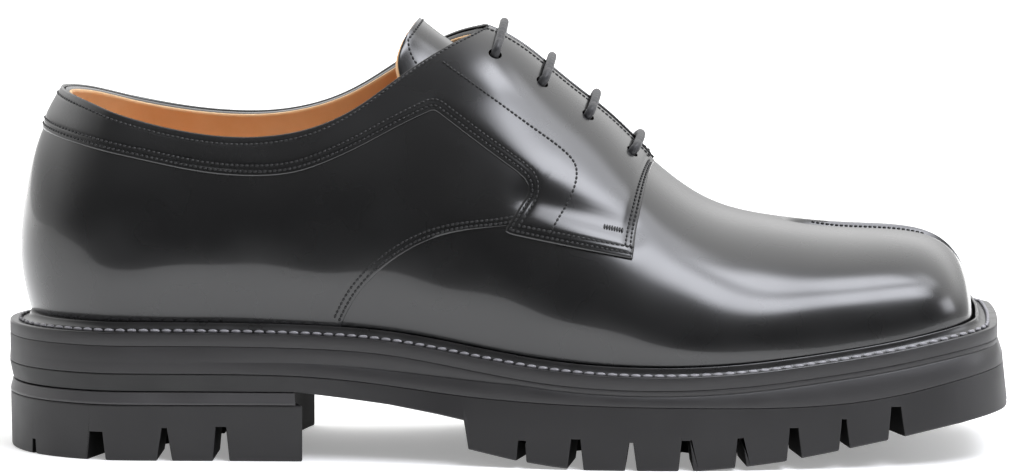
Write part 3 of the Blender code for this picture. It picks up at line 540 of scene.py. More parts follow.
def add_finish(name, dark, light, rough, grain_mm, grain_depth_mm, patch_mm, **fixed):
    """A finish whose colour and gloss vary in patches, with a fine grain in its normals.
    rough is the range of its roughness, and fixed are plain values of the shader. Where a piece
    carries the attribute of painted shade, the finish is darker by that share."""
    material = bpy.data.materials.new(name)
    material.use_nodes = True
    tree = material.node_tree
    shader = tree.nodes["Principled BSDF"]
    place = add_node(tree, "ShaderNodeTexCoord", {}).outputs["Object"]
    patches = add_node(
        tree, "ShaderNodeTexNoise", {"Vector": place, "Scale": 1 / (patch_mm * MM), "Detail": 3.0}
    ).outputs["Fac"]
    colour = add_node(
        tree, "ShaderNodeMix", {0: patches, 6: linear(dark), 7: linear(light)}, data_type="RGBA"
    )
    # Painted shade: where the piece carries that attribute, the colour goes towards near black.
    painted_shade = add_node(tree, "ShaderNodeAttribute", {}, attribute_name="painted_shade").outputs["Fac"]
    colour = add_node(
        tree, "ShaderNodeMix", {0: painted_shade, 6: colour.outputs[2], 7: linear(PAINTED_SHADE_COLOUR)}, data_type="RGBA"
    )
    gloss = add_node(tree, "ShaderNodeMapRange", {
        "Value": patches, "From Min": 0.3, "From Max": 0.7, "To Min": rough[0], "To Max": rough[1],
    })
    grain = add_node(tree, "ShaderNodeTexNoise", {
        "Vector": place, "Scale": 1 / (grain_mm * MM), "Detail": 2.0, "Roughness": 0.55,
    })
    bump = add_node(tree, "ShaderNodeBump", {
        "Height": grain.outputs["Fac"], "Distance": grain_depth_mm * MM, "Strength": 1.0,
    })
    tree.links.new(colour.outputs[2], shader.inputs["Base Color"])
    tree.links.new(gloss.outputs["Result"], shader.inputs["Roughness"])
    tree.links.new(bump.outputs["Normal"], shader.inputs["Normal"])
    for socket, value in fixed.items():
        shader.inputs[socket.replace("_", " ")].default_value = value
    return material


print("middle grey in linear light", round(linear("#808080")[0], 3))

# %% [markdown]
# ### Polished leather
# The upper is calf leather with a glazed, polished finish: nearly black, with a clear glossy skin
# over a slightly softer body. A second, sharper coat layer over the base gives just that: soft
# light from below and crisp window-like reflections on top. Its pores are finer than a pixel, so
# the grain is drawn at 0.8 mm and kept very shallow, only enough to keep reflections alive.

# %% Leather finishes
# Glazed calf: a deep black with crisp, slightly wandering reflections.
polished = add_finish(
    "polished_calf_leather", "#09090a", "#101011", (0.24, 0.32), 0.8, 0.006, 26.0,
    IOR=1.5, Coat_Weight=0.6, Coat_Roughness=0.075, Coat_IOR=1.5,
)
# Tan lining: warm, dull and a little cloudy.
lining = add_finish(
    "tan_lining_leather", "#dba56c", "#ebc192", (0.42, 0.56), 0.7, 0.03, 9.0,
    IOR=1.5, Sheen_Weight=0.1,
)
# A knife cut: pale, dry fibres.
raw_edge = add_finish(
    "cut_leather_edge", "#b98d5e", "#dbbd94", (0.6, 0.75), 0.4, 0.04, 3.0, IOR=1.5,
)
print("leather finishes", polished.name, lining.name, raw_edge.name)

# %% [markdown]
# ### Rubber, thread and lace
# The sole is moulded rubber: dark grey more than black, satin, with a faint grit from the mould.
# The tread is darker than the midsole, the heel's lift is greyer, a lighter tone that is painted
# light, and the grooves get a matt rubber, because nothing rubs them, in a near black that is
# painted shade. The welt is a strip of dyed leather board with a waxed grey thread, and the upper
# is sewn with a waxed dark thread.

# %% Sole, thread and lace finishes
# Moulded walls: satin dark grey with soft, wide highlights.
rubber = add_finish(
    "moulded_rubber", "#1e1d1e", "#272627", (0.42, 0.54), 0.6, 0.012, 14.0, IOR=1.52,
)
tread_rubber = add_finish(
    "moulded_tread_rubber", "#151415", "#1c1b1c", (0.46, 0.58), 0.6, 0.012, 14.0, IOR=1.52,
)
# Inside the grooves and on the other cut faces the rubber is matt, and its near black colour is
# painted shade.
groove_rubber_painted_shade = add_finish(
    "matt_rubber_painted_shade", "#070707", "#0c0b0c", (0.75, 0.85), 0.6, 0.015, 10.0,
    IOR=1.52, Specular_IOR_Level=0.1,
)
# The heel's lift is a little smoother rubber, and its lighter grey is painted light.
lift_rubber_painted_light = add_finish(
    "grey_rubber_painted_light", "#333233", "#3d3c3d", (0.38, 0.48), 0.6, 0.01, 14.0, IOR=1.52,
)
# Dyed welt: nearly black, with a soft shine.
welt_strip = add_finish(
    "dyed_welt_leather", "#131313", "#1d1c1d", (0.26, 0.38), 0.7, 0.015, 8.0,
    IOR=1.5, Coat_Weight=0.35, Coat_Roughness=0.2,
)
# Wax closes the fibres of thread and cord, so both shine faintly.
grey_thread = add_finish(
    "waxed_grey_thread", "#77767a", "#98979b", (0.4, 0.5), 0.3, 0.03, 2.0, IOR=1.5,
)
dark_thread = add_finish(
    "waxed_black_thread", "#0c0c0d", "#161617", (0.4, 0.5), 0.3, 0.02, 2.0, IOR=1.5,
)
lace_cord = add_finish(
    "waxed_cotton_cord", "#1c1c1e", "#2a2a2d", (0.42, 0.55), 0.35, 0.03, 4.0,
    IOR=1.5, Sheen_Weight=0.15,
)
print("sole finishes", rubber.name, welt_strip.name, lace_cord.name)

# %% [markdown]
# ## Sole outline
# All the layers of the sole follow the last's bottom edge, only further out, so the edge is taken
# once as a closed loop with its outward directions. A layer is then a side profile swept round
# that loop and closed across the top and the bottom. Real rubber has no sharp edges, so each
# profile ends in a small rounding.

# %% Sole layers
FRONT_BOW = 0.8
FRONT_POINTS = 20
SOLE_END_X = 307.4
sole_rows = np.concatenate([
    np.linspace(0, HEEL_ROWS, 45), np.linspace(HEEL_ROWS, LAST_ROW - 5, 71)[1:],
    np.linspace(LAST_ROW - 5, LAST_ROW, 41)[1:],
])
print(len(sole_rows), "stations along the sole")


def edge_loop(rows):
    """The last's bottom edge in plan as one loop (heel, lateral, toe, medial), its outward
    normals, and for each station the loop's lateral and medial place."""
    lateral = frame_of(rows, np.full(len(rows), LATERAL))[1]
    medial = frame_of(rows, np.full(len(rows), MEDIAL))[1]
    share = np.arange(1, FRONT_POINTS + 1)[:, None] / (FRONT_POINTS + 1)
    front = lateral[-1] + (medial[-1] - lateral[-1]) * share
    front[:, 0] += FRONT_BOW * 4 * share[:, 0] * (1 - share[:, 0])
    loop = np.concatenate([lateral, front, medial[:0:-1]])
    normal = np.zeros_like(loop)
    for reach in (1, 2, 3):
        along = unit(np.roll(loop, -reach, 0) - np.roll(loop, reach, 0))
        normal += np.stack([along[:, 1], -along[:, 0]], -1)
    left = np.arange(len(rows) + FRONT_POINTS // 2)
    return loop, unit(normal), left, -left % len(loop)


def side_points(loop, normal, places, profile):
    """Points down the sole's side: one row for each place, one column for each profile step."""
    x = np.clip(loop[places, 0], HEEL_BACK_X, SOLE_END_X)
    columns = []
    for outset, height in profile(x):
        plan = loop[places] + normal[places] * np.broadcast_to(outset, x.shape)[:, None]
        columns.append(np.column_stack([plan, np.broadcast_to(height, x.shape)]))
    return np.stack(columns, 1)


def join_sheets(sheets):
    """One closed bmesh from sheets whose borders meet."""
    bm = bmesh.new()
    for points in sheets:
        mesh = made_mesh("sheet", grid_sheet(points))
        bm.from_mesh(mesh)
        bpy.data.meshes.remove(mesh)
    bmesh.ops.remove_doubles(bm, verts=bm.verts, dist=0.01)
    bmesh.ops.dissolve_degenerate(bm, edges=bm.edges, dist=0.01)
    face_outwards(bm)
    return bm


def slab(rows, profile, first=0, last=None):
    """A layer of the sole: a loft through sections from its first to its last station."""
    loop, normal, left, right = edge_loop(rows)
    left, right = left[first:last], right[first:last]
    lateral = side_points(loop, normal, left, profile)
    medial = side_points(loop, normal, right, profile)
    ring = np.concatenate([lateral, medial[:, ::-1], lateral[:, :1]], 1)
    ends = [np.stack([lateral[i], medial[i]], 1) for i in (0, -1)]
    return join_sheets([ring] + (ends[1:] if first == 0 else ends))


# %% Profiles of the sole's layers
TREAD = np.array([
    (0.0, 21.2), (90.0, 21.0), (103.0, 19.6), (119.0, 17.8), (134.0, 15.4), (142.0, 13.9),
    (143.4, 5.2), (157.0, 2.4), (168.0, 0.8), (176.0, 0.0), (210.0, 0.0), (222.0, 1.0),
    (234.0, 2.5), (248.0, 5.0), (268.0, 9.0), (284.0, 12.6), (304.0, 17.6),
])
HEEL_LIFT_TOP = 20.7
HEEL_LIFT_BOTTOM = 17.2
RIB_BELOW_TOP = 1.7
RIB_DEPTH = 0.3
RIB_FROM_X, RIB_RUN = 60.0, 60.0


def tread(x):
    """Height of the outsole's underside at x."""
    return np.interp(x, TREAD[:, 0], TREAD[:, 1])


def midsole_top(x):
    """Height of the midsole's upper face, just under the welt."""
    return layer(x, "welt_top") - WELT_THICKNESS - 0.1


def midsole_profile(x):
    """A wall with a moulded line along it, from its top corner to its bottom corner."""
    reach, top, bottom = layer(x, "welt_reach"), midsole_top(x), layer(x, "midsole_bottom")
    rib = np.minimum(layer(x, "rib"), top - RIB_BELOW_TOP)
    low = reach + layer(x, "step")
    depth = RIB_DEPTH * ramp(x, RIB_FROM_X, RIB_RUN)
    return [
        (reach - 0.2, top), (reach - 0.06, top - 0.06), (reach, top - 0.3), (reach, rib + 0.4),
        (reach - depth * 0.3, rib + 0.28), (reach - depth, rib), (reach - depth * 0.3, rib - 0.28),
        (reach, rib - 0.4), (low, bottom + 0.35), (low - 0.06, bottom + 0.08), (low - 0.2, bottom),
    ]


def outsole_profile(x):
    """A wall that flares out to the tread, with both corners rounded."""
    reach = layer(x, "welt_reach") + layer(x, "step")
    top, foot = layer(x, "midsole_bottom") - 0.1, reach + layer(x, "flare")
    low = tread(x)
    return [
        (reach - 0.2, top), (reach - 0.06, top - 0.08), (reach, top - 0.35),
        ((reach + foot) / 2, (top + low) / 2),
        (foot, low + 0.6), (foot - 0.15, low + 0.18), (foot - 0.6, low),
    ]


def heel_lift_profile(x):
    """A thin layer that leans out to a rounded lip."""
    reach = layer(x, "welt_reach") + 0.1
    return [
        (reach - 1.2, HEEL_LIFT_TOP + 0.2), (reach - 0.8, HEEL_LIFT_TOP),
        (reach - 0.1, HEEL_LIFT_BOTTOM + 0.9), (reach, HEEL_LIFT_BOTTOM + 0.5),
        (reach - 0.05, HEEL_LIFT_BOTTOM), (reach - 0.3, HEEL_LIFT_BOTTOM - 0.1),
    ]


def heel_block_profile(x):
    """A wall that draws in slightly to the floor."""
    reach, top = layer(x, "welt_reach"), HEEL_LIFT_BOTTOM - 0.2
    return [
        (reach - 0.5, top), (reach - 0.12, top - 0.12), (reach, top - 0.5),
        (reach - 0.2, 0.6), (reach - 0.35, 0.18), (reach - 0.8, np.zeros_like(x)),
    ]


add_piece(
    "midsole_wall", slab(sole_rows, midsole_profile), [rubber], "midsole"
)

# %% [markdown]
# ## Lugs
# The tread's grooves are tapered slots that open at the side walls, and the middle of the tread is
# a pocket with cross shaped lugs in it. Cutting them with booleans is the plain way: the slots are
# wedges, and a second material on the wedges marks the cut faces with a near black that is painted
# shade. The edges between the two materials are then bevelled, so each lug gets the small rounding
# that moulded rubber has.

# %% Tread cutters
GROOVE_REACH, GROOVE_OUTSIDE = 11.5, 14.0
# How far a cutter goes on below the tread.
OVERCUT = 4.0
# x, width at the floor, width at the top, depth
FOREFOOT_GROOVES = [
    (159.0, 3.0, 2.0, 6.0), (174.5, 4.8, 2.6, 9.0), (190.4, 3.6, 1.2, 8.4), (206.2, 4.4, 2.4, 9.0),
    (222.0, 3.4, 1.2, 8.6), (237.6, 4.4, 2.4, 9.4), (252.6, 3.2, 1.2, 9.0), (267.6, 5.0, 2.8, 9.4),
]
HEEL_GROOVES = [
    (15.5, 1.9, 1.3, 4.4), (31.4, 5.8, 4.0, 8.6), (49.6, 4.6, 1.4, 10.0), (66.8, 5.0, 3.0, 10.4),
]
TOE_GROOVE_Y = (-16.0, 4.0, 24.0)
TOE_GROOVE_X, TOE_GROOVE_SIZES = 295.5, (4.4, 2.4, 8.0)
print(2 * len(FOREFOOT_GROOVES + HEEL_GROOVES) + len(TOE_GROOVE_Y), "grooves")


def add_cutter(name, bm):
    """A helper object whose faces carry the second material."""
    bmesh.ops.transform(bm, matrix=TO_METRES, verts=bm.verts)
    bmesh.ops.recalc_face_normals(bm, faces=bm.faces)
    for face in bm.faces:
        face.material_index = 1
    mesh = made_mesh(name, bm)
    for material in (tread_rubber, groove_rubber_painted_shade):
        mesh.materials.append(material)
    return add_object(name, mesh)


def wedge(bm, place, outward, sizes, floor):
    """A tapered slot that runs inwards from a side wall."""
    width_floor, width_top, depth = sizes
    along = np.array([-outward[1], outward[0]])
    for vert in bmesh.ops.create_cube(bm, size=1.0)["verts"]:
        run = (vert.co.x + 0.5) * (GROOVE_REACH + GROOVE_OUTSIDE) - GROOVE_REACH
        low = vert.co.z < 0
        height = floor - OVERCUT if low else floor + depth
        spread = width_floor + OVERCUT * (width_floor - width_top) / depth
        plan = place + outward * run + along * vert.co.y * (spread if low else width_top)
        vert.co = (plan[0], plan[1], height)


def edge_normal(row, side):
    """A point of the last's bottom edge and its outward direction in plan."""
    ahead, behind = (frame_of(np.array(row + d), np.array(side))[1] for d in (0.05, -0.05))
    along = (ahead - behind) * -side
    return (ahead + behind) / 2, unit(np.array([-along[1], along[0]]))


def groove_cutter(name, grooves, toe_grooves, ground):
    """All the slots of a tread, on both sides and across its toe."""
    bm = bmesh.new()
    for x, *sizes in grooves:
        for side in (LATERAL, MEDIAL):
            place, outward = edge_normal(float(row_at(x)), side)
            wedge(bm, place, outward, sizes, float(ground(x)))
    for y in toe_grooves:
        place = np.array([TOE_GROOVE_X, y])
        wedge(bm, place, np.array([1.0, 0.0]), TOE_GROOVE_SIZES, float(ground(SOLE_END_X)))
    return add_cutter(name, bm)


# %% Cross lugs and pockets
POCKET_INSET, POCKET_DEPTH = 13.0, 6.0
POCKET_X, HEEL_POCKET_X = (156.0, 274.0), (27.0, 78.0)
CROSS_SPAN = 22.0
FOREFOOT_CROSSES = [
    (176.0, -14.0), (176.0, 14.0), (206.0, -16.0), (206.0, 16.0), (236.0, -13.0), (236.0, 16.0),
    (264.0, 3.0),
]
HEEL_CROSSES = [(48.0, 0.0)]
print(len(FOREFOOT_CROSSES + HEEL_CROSSES), "cross shaped lugs")


def cross_lugs(name, crosses, ground):
    """Cross shaped lugs, tilted to follow the tread and sunk into the pocket's floor."""
    bm = bmesh.new()
    for x, y in crosses:
        made = bmesh.ops.create_grid(bm, x_segments=3, y_segments=3, size=CROSS_SPAN / 2)["verts"]
        nine = list(dict.fromkeys(f for v in made for f in v.link_faces))
        corners = [f for f in nine if min(map(abs, f.calc_center_median()[:2])) > CROSS_SPAN / 4]
        faces = [f for f in nine if f not in corners]
        bmesh.ops.delete(bm, geom=corners, context="FACES")
        raised = bmesh.ops.extrude_face_region(bm, geom=faces)["geom"]
        top = [v for v in raised if isinstance(v, bmesh.types.BMVert)]
        bmesh.ops.translate(bm, verts=top, vec=(0, 0, POCKET_DEPTH + 1.0))
        whole = dict.fromkeys([v for f in faces for v in f.verts] + top)
        back, ahead = (float(ground(x + step)) for step in (-8.0, 8.0))
        pitch = math.atan2(ahead - back, 16.0)
        place = Matrix.Translation((x, y, (back + ahead) / 2 + 0.2))
        turn = Matrix.Rotation(-pitch, 4, "Y") @ Matrix.Rotation(math.pi / 4, 4, "Z")
        bmesh.ops.transform(bm, matrix=place @ turn, verts=list(whole))
    return add_cutter(name, bm)


def flat_ground(x):
    """Height of the heel's underside, which lies flat on the floor."""
    return np.zeros_like(np.asarray(x, float))


def pocket(name, rows, x_range, ground):
    """The shallow pocket in the middle of a tread, as a closed slab between two stations."""
    x = station(rows, "edge_x")
    rows = rows[(x >= x_range[0]) & (x <= x_range[1])][::3]
    left, right = (
        frame_of(rows, np.full(len(rows), side))[1] - side * np.array([0.0, POCKET_INSET])
        for side in (LATERAL, MEDIAL)
    )
    top, bottom = ground(left[:, 0]) + POCKET_DEPTH, ground(left[:, 0]) - OVERCUT
    corners = [(left, top), (left, bottom), (right, bottom), (right, top), (left, top)]
    ring = np.stack([np.column_stack([plan, z]) for plan, z in corners], 1)
    ends = [ring[i, [0, 1, 3, 2]].reshape(2, 2, 3) for i in (0, -1)]
    return add_cutter(name, join_sheets([ring] + ends))


# %% The heel's hollow front
HEEL_LENGTH, LIFT_SETBACK, HEEL_BREAST_RADIUS, HEEL_BREAST_Y = 91.3, 2.2, 120.0, -1.2
print("heel", HEEL_LENGTH, "mm long at its front corners")


def breast_cutter(name, corner_x):
    """An upright cylinder that hollows the heel's front face between its two corners."""
    radius = HEEL_BREAST_RADIUS
    bm = bmesh.new()
    bmesh.ops.create_cone(bm, cap_ends=True, segments=240, radius1=radius, radius2=radius, depth=80)
    half_width = station(row_at(corner_x), "lateral") + layer(corner_x, "welt_reach")
    centre = corner_x + math.sqrt(radius**2 - (half_width + HEEL_BREAST_Y) ** 2)
    bmesh.ops.translate(bm, verts=bm.verts, vec=(centre, HEEL_BREAST_Y, 0))
    return add_cutter(name, bm)


# %% Rounding and carving
LUG_ROUNDING, LUG_MERGE = 0.35, 0.02
# Faces that meet at more than these degrees keep a crisp line between them.
LUG_CRISP_ANGLE = 14
print("lug edges rounded by", LUG_ROUNDING, "mm")


def round_lugs(piece):
    """Bevels the edges where a cut meets the moulded wall."""
    bm = bmesh.new()
    bm.from_mesh(piece.data)
    bmesh.ops.remove_doubles(bm, verts=bm.verts, dist=LUG_MERGE * MM)
    edges = [
        e for e in bm.edges
        if len(e.link_faces) == 2
        and e.link_faces[0].material_index != e.link_faces[1].material_index
        and e.calc_face_angle(0) > 0.5
    ]
    bmesh.ops.bevel(
        bm, geom=edges, offset=LUG_ROUNDING * MM, offset_type="OFFSET", affect="EDGES",
        segments=2, profile=0.5, material=-1, loop_slide=True, clamp_overlap=False,
    )
    bm.to_mesh(piece.data)
    bm.free()
    piece.data.shade_smooth()
    piece.data.set_sharp_from_angle(angle=math.radians(LUG_CRISP_ANGLE))


def carve(piece, cutters, lugs):
    """Cuts the grooves and the pocket, and sets the lugs into the pocket."""
    for cutter in cutters:
        cut(piece, cutter)
    cut(piece, lugs, "UNION")
    settle(piece, *cutters, lugs)


# %% [markdown]
# ## Outsole and heel
# The outsole is one moulded slab from the toe to under the heel, and the heel is a thin lift with a
# lugged block below it. Both have a hollow front, the heel's breast, cut by a large upright
# cylinder. Towards the heel the photograph shows the outsole nearly black, where it lies in the
# shade of the layers round it. A second material there would start at a hard line, so an attribute
# that grows towards the heel paints that shade softly into its colour.

# %% Outsole
# Painted shade on the outsole: none at this x, full this many mm further back.
PAINTED_SHADE_FROM_X, PAINTED_SHADE_RUN = 110.0, 60.0
exact_x = [x for x, _ in TREAD if 80 < x < 290]
outsole_rows = np.unique(np.concatenate([sole_rows, row_at(np.array(exact_x))]))
outsole = add_piece(
    "lugged_outsole", slab(outsole_rows, outsole_profile), [tread_rubber, groove_rubber_painted_shade],
    "outsole",
)
carve(
    outsole,
    [
        groove_cutter("tread_grooves", FOREFOOT_GROOVES, TOE_GROOVE_Y, tread),
        pocket("tread_pocket", outsole_rows, POCKET_X, tread),
    ],
    cross_lugs("tread_crosses", FOREFOOT_CROSSES, tread),
)
round_lugs(outsole)
# Painted shade: an attribute that darkens the outsole's colour towards the heel.
painted_shade = outsole.data.attributes.new("painted_shade", "FLOAT", "POINT")
for vert, mark in zip(outsole.data.vertices, painted_shade.data):
    mark.value = ramp(-MIDDLE_X - vert.co.x / MM, -PAINTED_SHADE_FROM_X, PAINTED_SHADE_RUN)
print("outsole darkens from x =", PAINTED_SHADE_FROM_X, "to", PAINTED_SHADE_FROM_X - PAINTED_SHADE_RUN)

# %% Heel
HEEL_SPARE = 3.0  # cut away by the hollow front face
heel_rows = np.unique(np.append(sole_rows, row_at(np.array([HEEL_LENGTH + HEEL_SPARE]))))
heel_end = int(np.argmin(np.abs(heel_rows - row_at(HEEL_LENGTH + HEEL_SPARE)))) + 1
lift = add_piece(
    "heel_lift_layer", slab(heel_rows, heel_lift_profile, 0, heel_end),
    [lift_rubber_painted_light, groove_rubber_painted_shade], "heel_lift",
)
lift_breast = breast_cutter("lift_breast", HEEL_LENGTH - LIFT_SETBACK)
cut(lift, lift_breast)
settle(lift, lift_breast)
block = add_piece(
    "lugged_heel", slab(heel_rows, heel_block_profile, 0, heel_end),
    [tread_rubber, groove_rubber_painted_shade], "heel_block",
)
carve(
    block,
    [
        breast_cutter("block_breast", HEEL_LENGTH),
        groove_cutter("heel_grooves", HEEL_GROOVES, (), flat_ground),
        pocket("heel_pocket", heel_rows, HEEL_POCKET_X, flat_ground),
    ],
    cross_lugs("heel_crosses", HEEL_CROSSES, flat_ground),
)
round_lugs(block)

# %% [markdown]
# ## Welt
# The welt is the strip that joins the upper to the sole. Its inner side stands up as a ridge that
# keeps water out, and from there it slopes down to a rounded outer edge, with a shallow channel
# for the stitches. It is one cross section swept round the last's edge. Its upright outer side
# looks like the midsole's wall below it, so those faces take the rubber's finish.

# %% Welt
WELT_RIDGE = 3.3
STITCH_CHANNEL = 0.5


def welt_section():
    """The welt's cross section round the loop, and the line of its stitches."""
    loop, normal, _, _ = edge_loop(sole_rows)
    x = np.clip(loop[:, 0], HEEL_BACK_X, SOLE_END_X)
    row = np.clip(row_at(np.minimum(loop[:, 0], FINE_EDGE_X[-1])), 0, LAST_ROW)
    height = np.clip((WELT_THICKNESS + WELT_RIDGE) / station(row, "belly"), 0, 1)
    inside = station(row, "bulge") * (1 - (1 - height) ** 2) + 0.15
    top, reach = layer(x, "welt_top"), layer(x, "welt_reach")
    crown = inside + 0.8
    shelf = reach - crown
    section = [
        (inside, -WELT_THICKNESS), (inside, WELT_RIDGE - 0.12), (inside + 0.12, WELT_RIDGE),
        (crown - 0.12, WELT_RIDGE), (crown, WELT_RIDGE - 0.12), (crown + 0.05, WELT_RIDGE - 0.5),
        (crown + shelf * 0.08, 1.75), (crown + shelf * 0.22, 1.2), (crown + shelf * 0.42, 0.8),
        (crown + shelf * 0.64, 0.7), (crown + shelf * 0.76, 0.82), (reach - 0.6, 0.94),
        (reach - 0.3, 0.88), (reach - 0.09, 0.7), (reach, 0.4), (reach, -WELT_THICKNESS + 0.2),
        (reach - 0.08, -WELT_THICKNESS), (inside, -WELT_THICKNESS),
    ]
    columns = [np.column_stack([loop + normal * out[:, None], top + rise]) for out, rise in section]
    line = np.column_stack([loop + normal * (crown + shelf * STITCH_CHANNEL)[:, None], top + 1.1])
    lean = 0.5 / shelf[:, None]
    return np.stack(columns, 1), line, np.column_stack([normal * lean, np.ones(len(loop))])


welt_points, welt_line, welt_up = welt_section()
bm = join_sheets([np.concatenate([welt_points, welt_points[:1]])])
for face in bm.faces:
    middle = face.calc_center_median()
    below_lip = middle.z < layer(min(middle.x, SOLE_END_X), "welt_top") + 0.4
    face.material_index = int(below_lip and abs(face.normal.z) < 0.5)
add_piece("storm_welt", bm, [welt_strip, rubber], "welt")

# %% [markdown]
# ## Vamp and quarters
# Under everything lies the vamp, one sheet over the whole last with the mouth left open. The
# quarters lie on it from the heel to a curved seam, and the facing and collar band lies on both.
# Each is a grid in the last's own rows and turns, so the sheets stay exactly parallel.

# %% Vamp
COLUMNS_LOW, COLUMNS_HIGH, COLUMNS_THROAT = 9, 46, 12
ROWS_PER_SECTION = 12


def side_turns(row, side):
    """The turns of one side's columns, from the bottom edge up to the mouth."""
    mouth = 1 - np.abs(mouth_turn(row, side))
    low = np.linspace(0, LOWER_SHARE, COLUMNS_LOW, endpoint=False)
    high = LOWER_SHARE + (mouth - LOWER_SHARE) * np.linspace(0, 1, COLUMNS_HIGH + 1)
    return side * (1 - np.concatenate([low, high]))


def open_sheet(rows, offset):
    """A sheet over the last with the collar and throat left open."""
    turns = []
    for row in rows:
        lateral, medial = side_turns(row, LATERAL), side_turns(row, MEDIAL)[::-1]
        middle = np.linspace(lateral[-1], 0, COLUMNS_THROAT + 1)[1:]
        beyond = np.linspace(0, medial[0], COLUMNS_THROAT + 1)[1:-1]
        turns.append(np.concatenate([lateral, middle, beyond, medial]))
    turns = np.array(turns)
    bm = grid_sheet(last_point(rows[:, None], turns, offset))
    throat_row = int(np.argmin(np.abs(rows - row_at(THROAT_FRONT_X))))
    edge_column, columns = COLUMNS_LOW + COLUMNS_HIGH, turns.shape[1] - 1
    bm.faces.ensure_lookup_table()
    slot = [
        bm.faces[r * columns + c]
        for r in range(throat_row)
        for c in range(edge_column, edge_column + 2 * COLUMNS_THROAT)
    ]
    bmesh.ops.delete(bm, geom=slot, context="FACES")
    bmesh.ops.remove_doubles(bm, verts=bm.verts, dist=0.01)
    face_outwards(bm, away_from_foot)
    return bm


def last_rows(end):
    """Close row numbers from the heel to a row, with one exactly at the throat's front."""
    rows = np.linspace(0, end, int(round(end * ROWS_PER_SECTION)) + 1)
    if end > row_at(THROAT_FRONT_X):
        exact = float(row_at(THROAT_FRONT_X))
        rows[np.argmin(np.abs(rows - exact))] = exact
    return rows


vamp = add_piece(
    "vamp_and_quarters", open_sheet(last_rows(LAST_ROW), 0.0), [polished],
    "upper",
)
thicken(vamp, WALL)

# %% [markdown]
# The quarter's front edge curves from the welt up to the facing. Levels of the grid start on that
# seam and fan back to the heel, so the cut edge is one smooth row of vertices.

# %% Quarters
QUARTER_OFFSET, QUARTER_THICKNESS = 0.5, 0.42
QUARTER_UNDER_BAND = 4.0
# x and height of the quarter's front edge, from the welt up.
QUARTER_SEAM = np.array([
    (100.0, 35.0), (103.0, 41.5), (106.6, 48.6), (111.0, 54.4), (117.0, 60.0), (124.0, 64.8),
    (133.0, 68.8), (143.0, 71.0), (153.0, 72.2), (160.0, 73.6), (165.0, 77.0), (167.4, 82.0),
    (168.0, 88.0),
])
# x, height at the collar band's lower edge
BAND = np.array([
    (8.6, 97.8), (42.0, 90.6), (62.0, 86.8), (80.0, 85.9), (98.0, 89.9), (116.0, 98.5),
    (130.0, 104.6), (143.0, 96.6), (154.0, 88.6), (170.0, 82.0),
])


def run_along(line):
    """Each point's distance along a line from its start."""
    return np.concatenate([[0], np.cumsum(np.linalg.norm(np.diff(line, axis=0), axis=1))])


def along_line(line, count):
    """Points evenly spaced along a line of x and height."""
    run = run_along(line)
    at = np.linspace(0, run[-1], count)
    return np.column_stack([spline(run, line[:, i], at) for i in range(2)])


def top_turn(row, side, x):
    """How far round the quarter's top lies, hidden under the collar band."""
    return np.abs(turn_at_height(row, side, np.interp(x, *BAND.T) + QUARTER_UNDER_BAND))


def quarter(name, levels=46, steps=132):
    """Both quarters as one sheet, from the medial seam round the heel to the lateral seam."""
    seam = along_line(QUARTER_SEAM, levels)
    front_row = row_at(seam[:, 0])
    sheet = []
    for side in (MEDIAL, LATERAL):
        front_turn = np.abs(turn_at_height(front_row, side, seam[:, 1]))
        top_front = top_turn(front_row, side, seam[:, 0])
        front_share = np.clip((1 - front_turn) / (1 - top_front), 0, 1)
        step = np.linspace(1, 0, steps)[:, None]
        row = front_row * step
        top = top_turn(row, side, station(row, "edge_x"))
        share = np.linspace(0, 1, levels) * (1 - step**2) + front_share * step**2
        sheet.append(last_point(row, side * (1 - share * (1 - top)), QUARTER_OFFSET))
    points = np.concatenate([sheet[0], sheet[1][::-1][1:]])
    bm = grid_sheet(points)
    face_outwards(bm, away_from_foot)
    piece = add_piece(name, bm, [polished], "upper")
    thicken(piece, QUARTER_THICKNESS, 0.14)


quarter("quarter_layer")

# %% [markdown]
# ## Facing and collar band
# One strip carries the eyelets and runs on round the collar. Its lower edge has a corner below the
# facing and a peak where the facing meets the band, so a table pairs each point of that edge with
# a point of the mouth, and the sheet runs between the two. In the facing, straight cross lines
# would run almost along the edge near its corners, so there each line leaves the edge at its own
# angle and bends over a handle towards the mouth. Columns lie close together along both edges,
# where the leather dips a little under its rows of stitches.

# %% Facing and collar band
STRIP_OFFSET, STRIP_THICKNESS = 1.5, 0.95
STITCH_DIP, STITCH_DIP_REACH = 0.14, 0.4
SKIVE, SKIVE_WIDTH = 0.68, 6.0
EDGE_STITCH = (1.3, 3.0)
RIM_STITCH = 2.3
# x and height of the strip's lower edge, the x of the mouth across from it, and the angle at
# which a cross line leaves the edge.
STRIP = np.array([
    (190.4, 62.4, 197.0, 76), (172.0, 66.0, 191.0, 68), (156.0, 69.2, 186.0, 42),
    (153.6, 69.8, 185.0, 33), (152.7, 70.4, 184.4, 28), (152.8, 71.4, 184.0, 25),
    (156.4, 77.3, 179.5, 25), (158.8, 81.2, 176.0, 30), (159.3, 82.6, 174.6, 38),
    (159.2, 84.2, 173.2, 46), (158.2, 85.8, 171.4, 53), (155.8, 87.8, 168.6, 58),
    (147.0, 94.1, 160.0, 61), (139.0, 99.8, 153.5, 60), (132.0, 104.8, 148.4, 56),
    (130.9, 105.3, 147.2, 55), (129.8, 105.2, 146.0, 54), (122.0, 101.6, 137.0, 57),
    (110.0, 95.4, 121.5, 60), (98.0, 89.9, 106.0, 62), (89.0, 87.0, 94.0, 68),
    (80.0, 85.9, 83.0, 75), (62.0, 86.8, 63.0, 86), (42.0, 90.6, 42.0, 90),
])
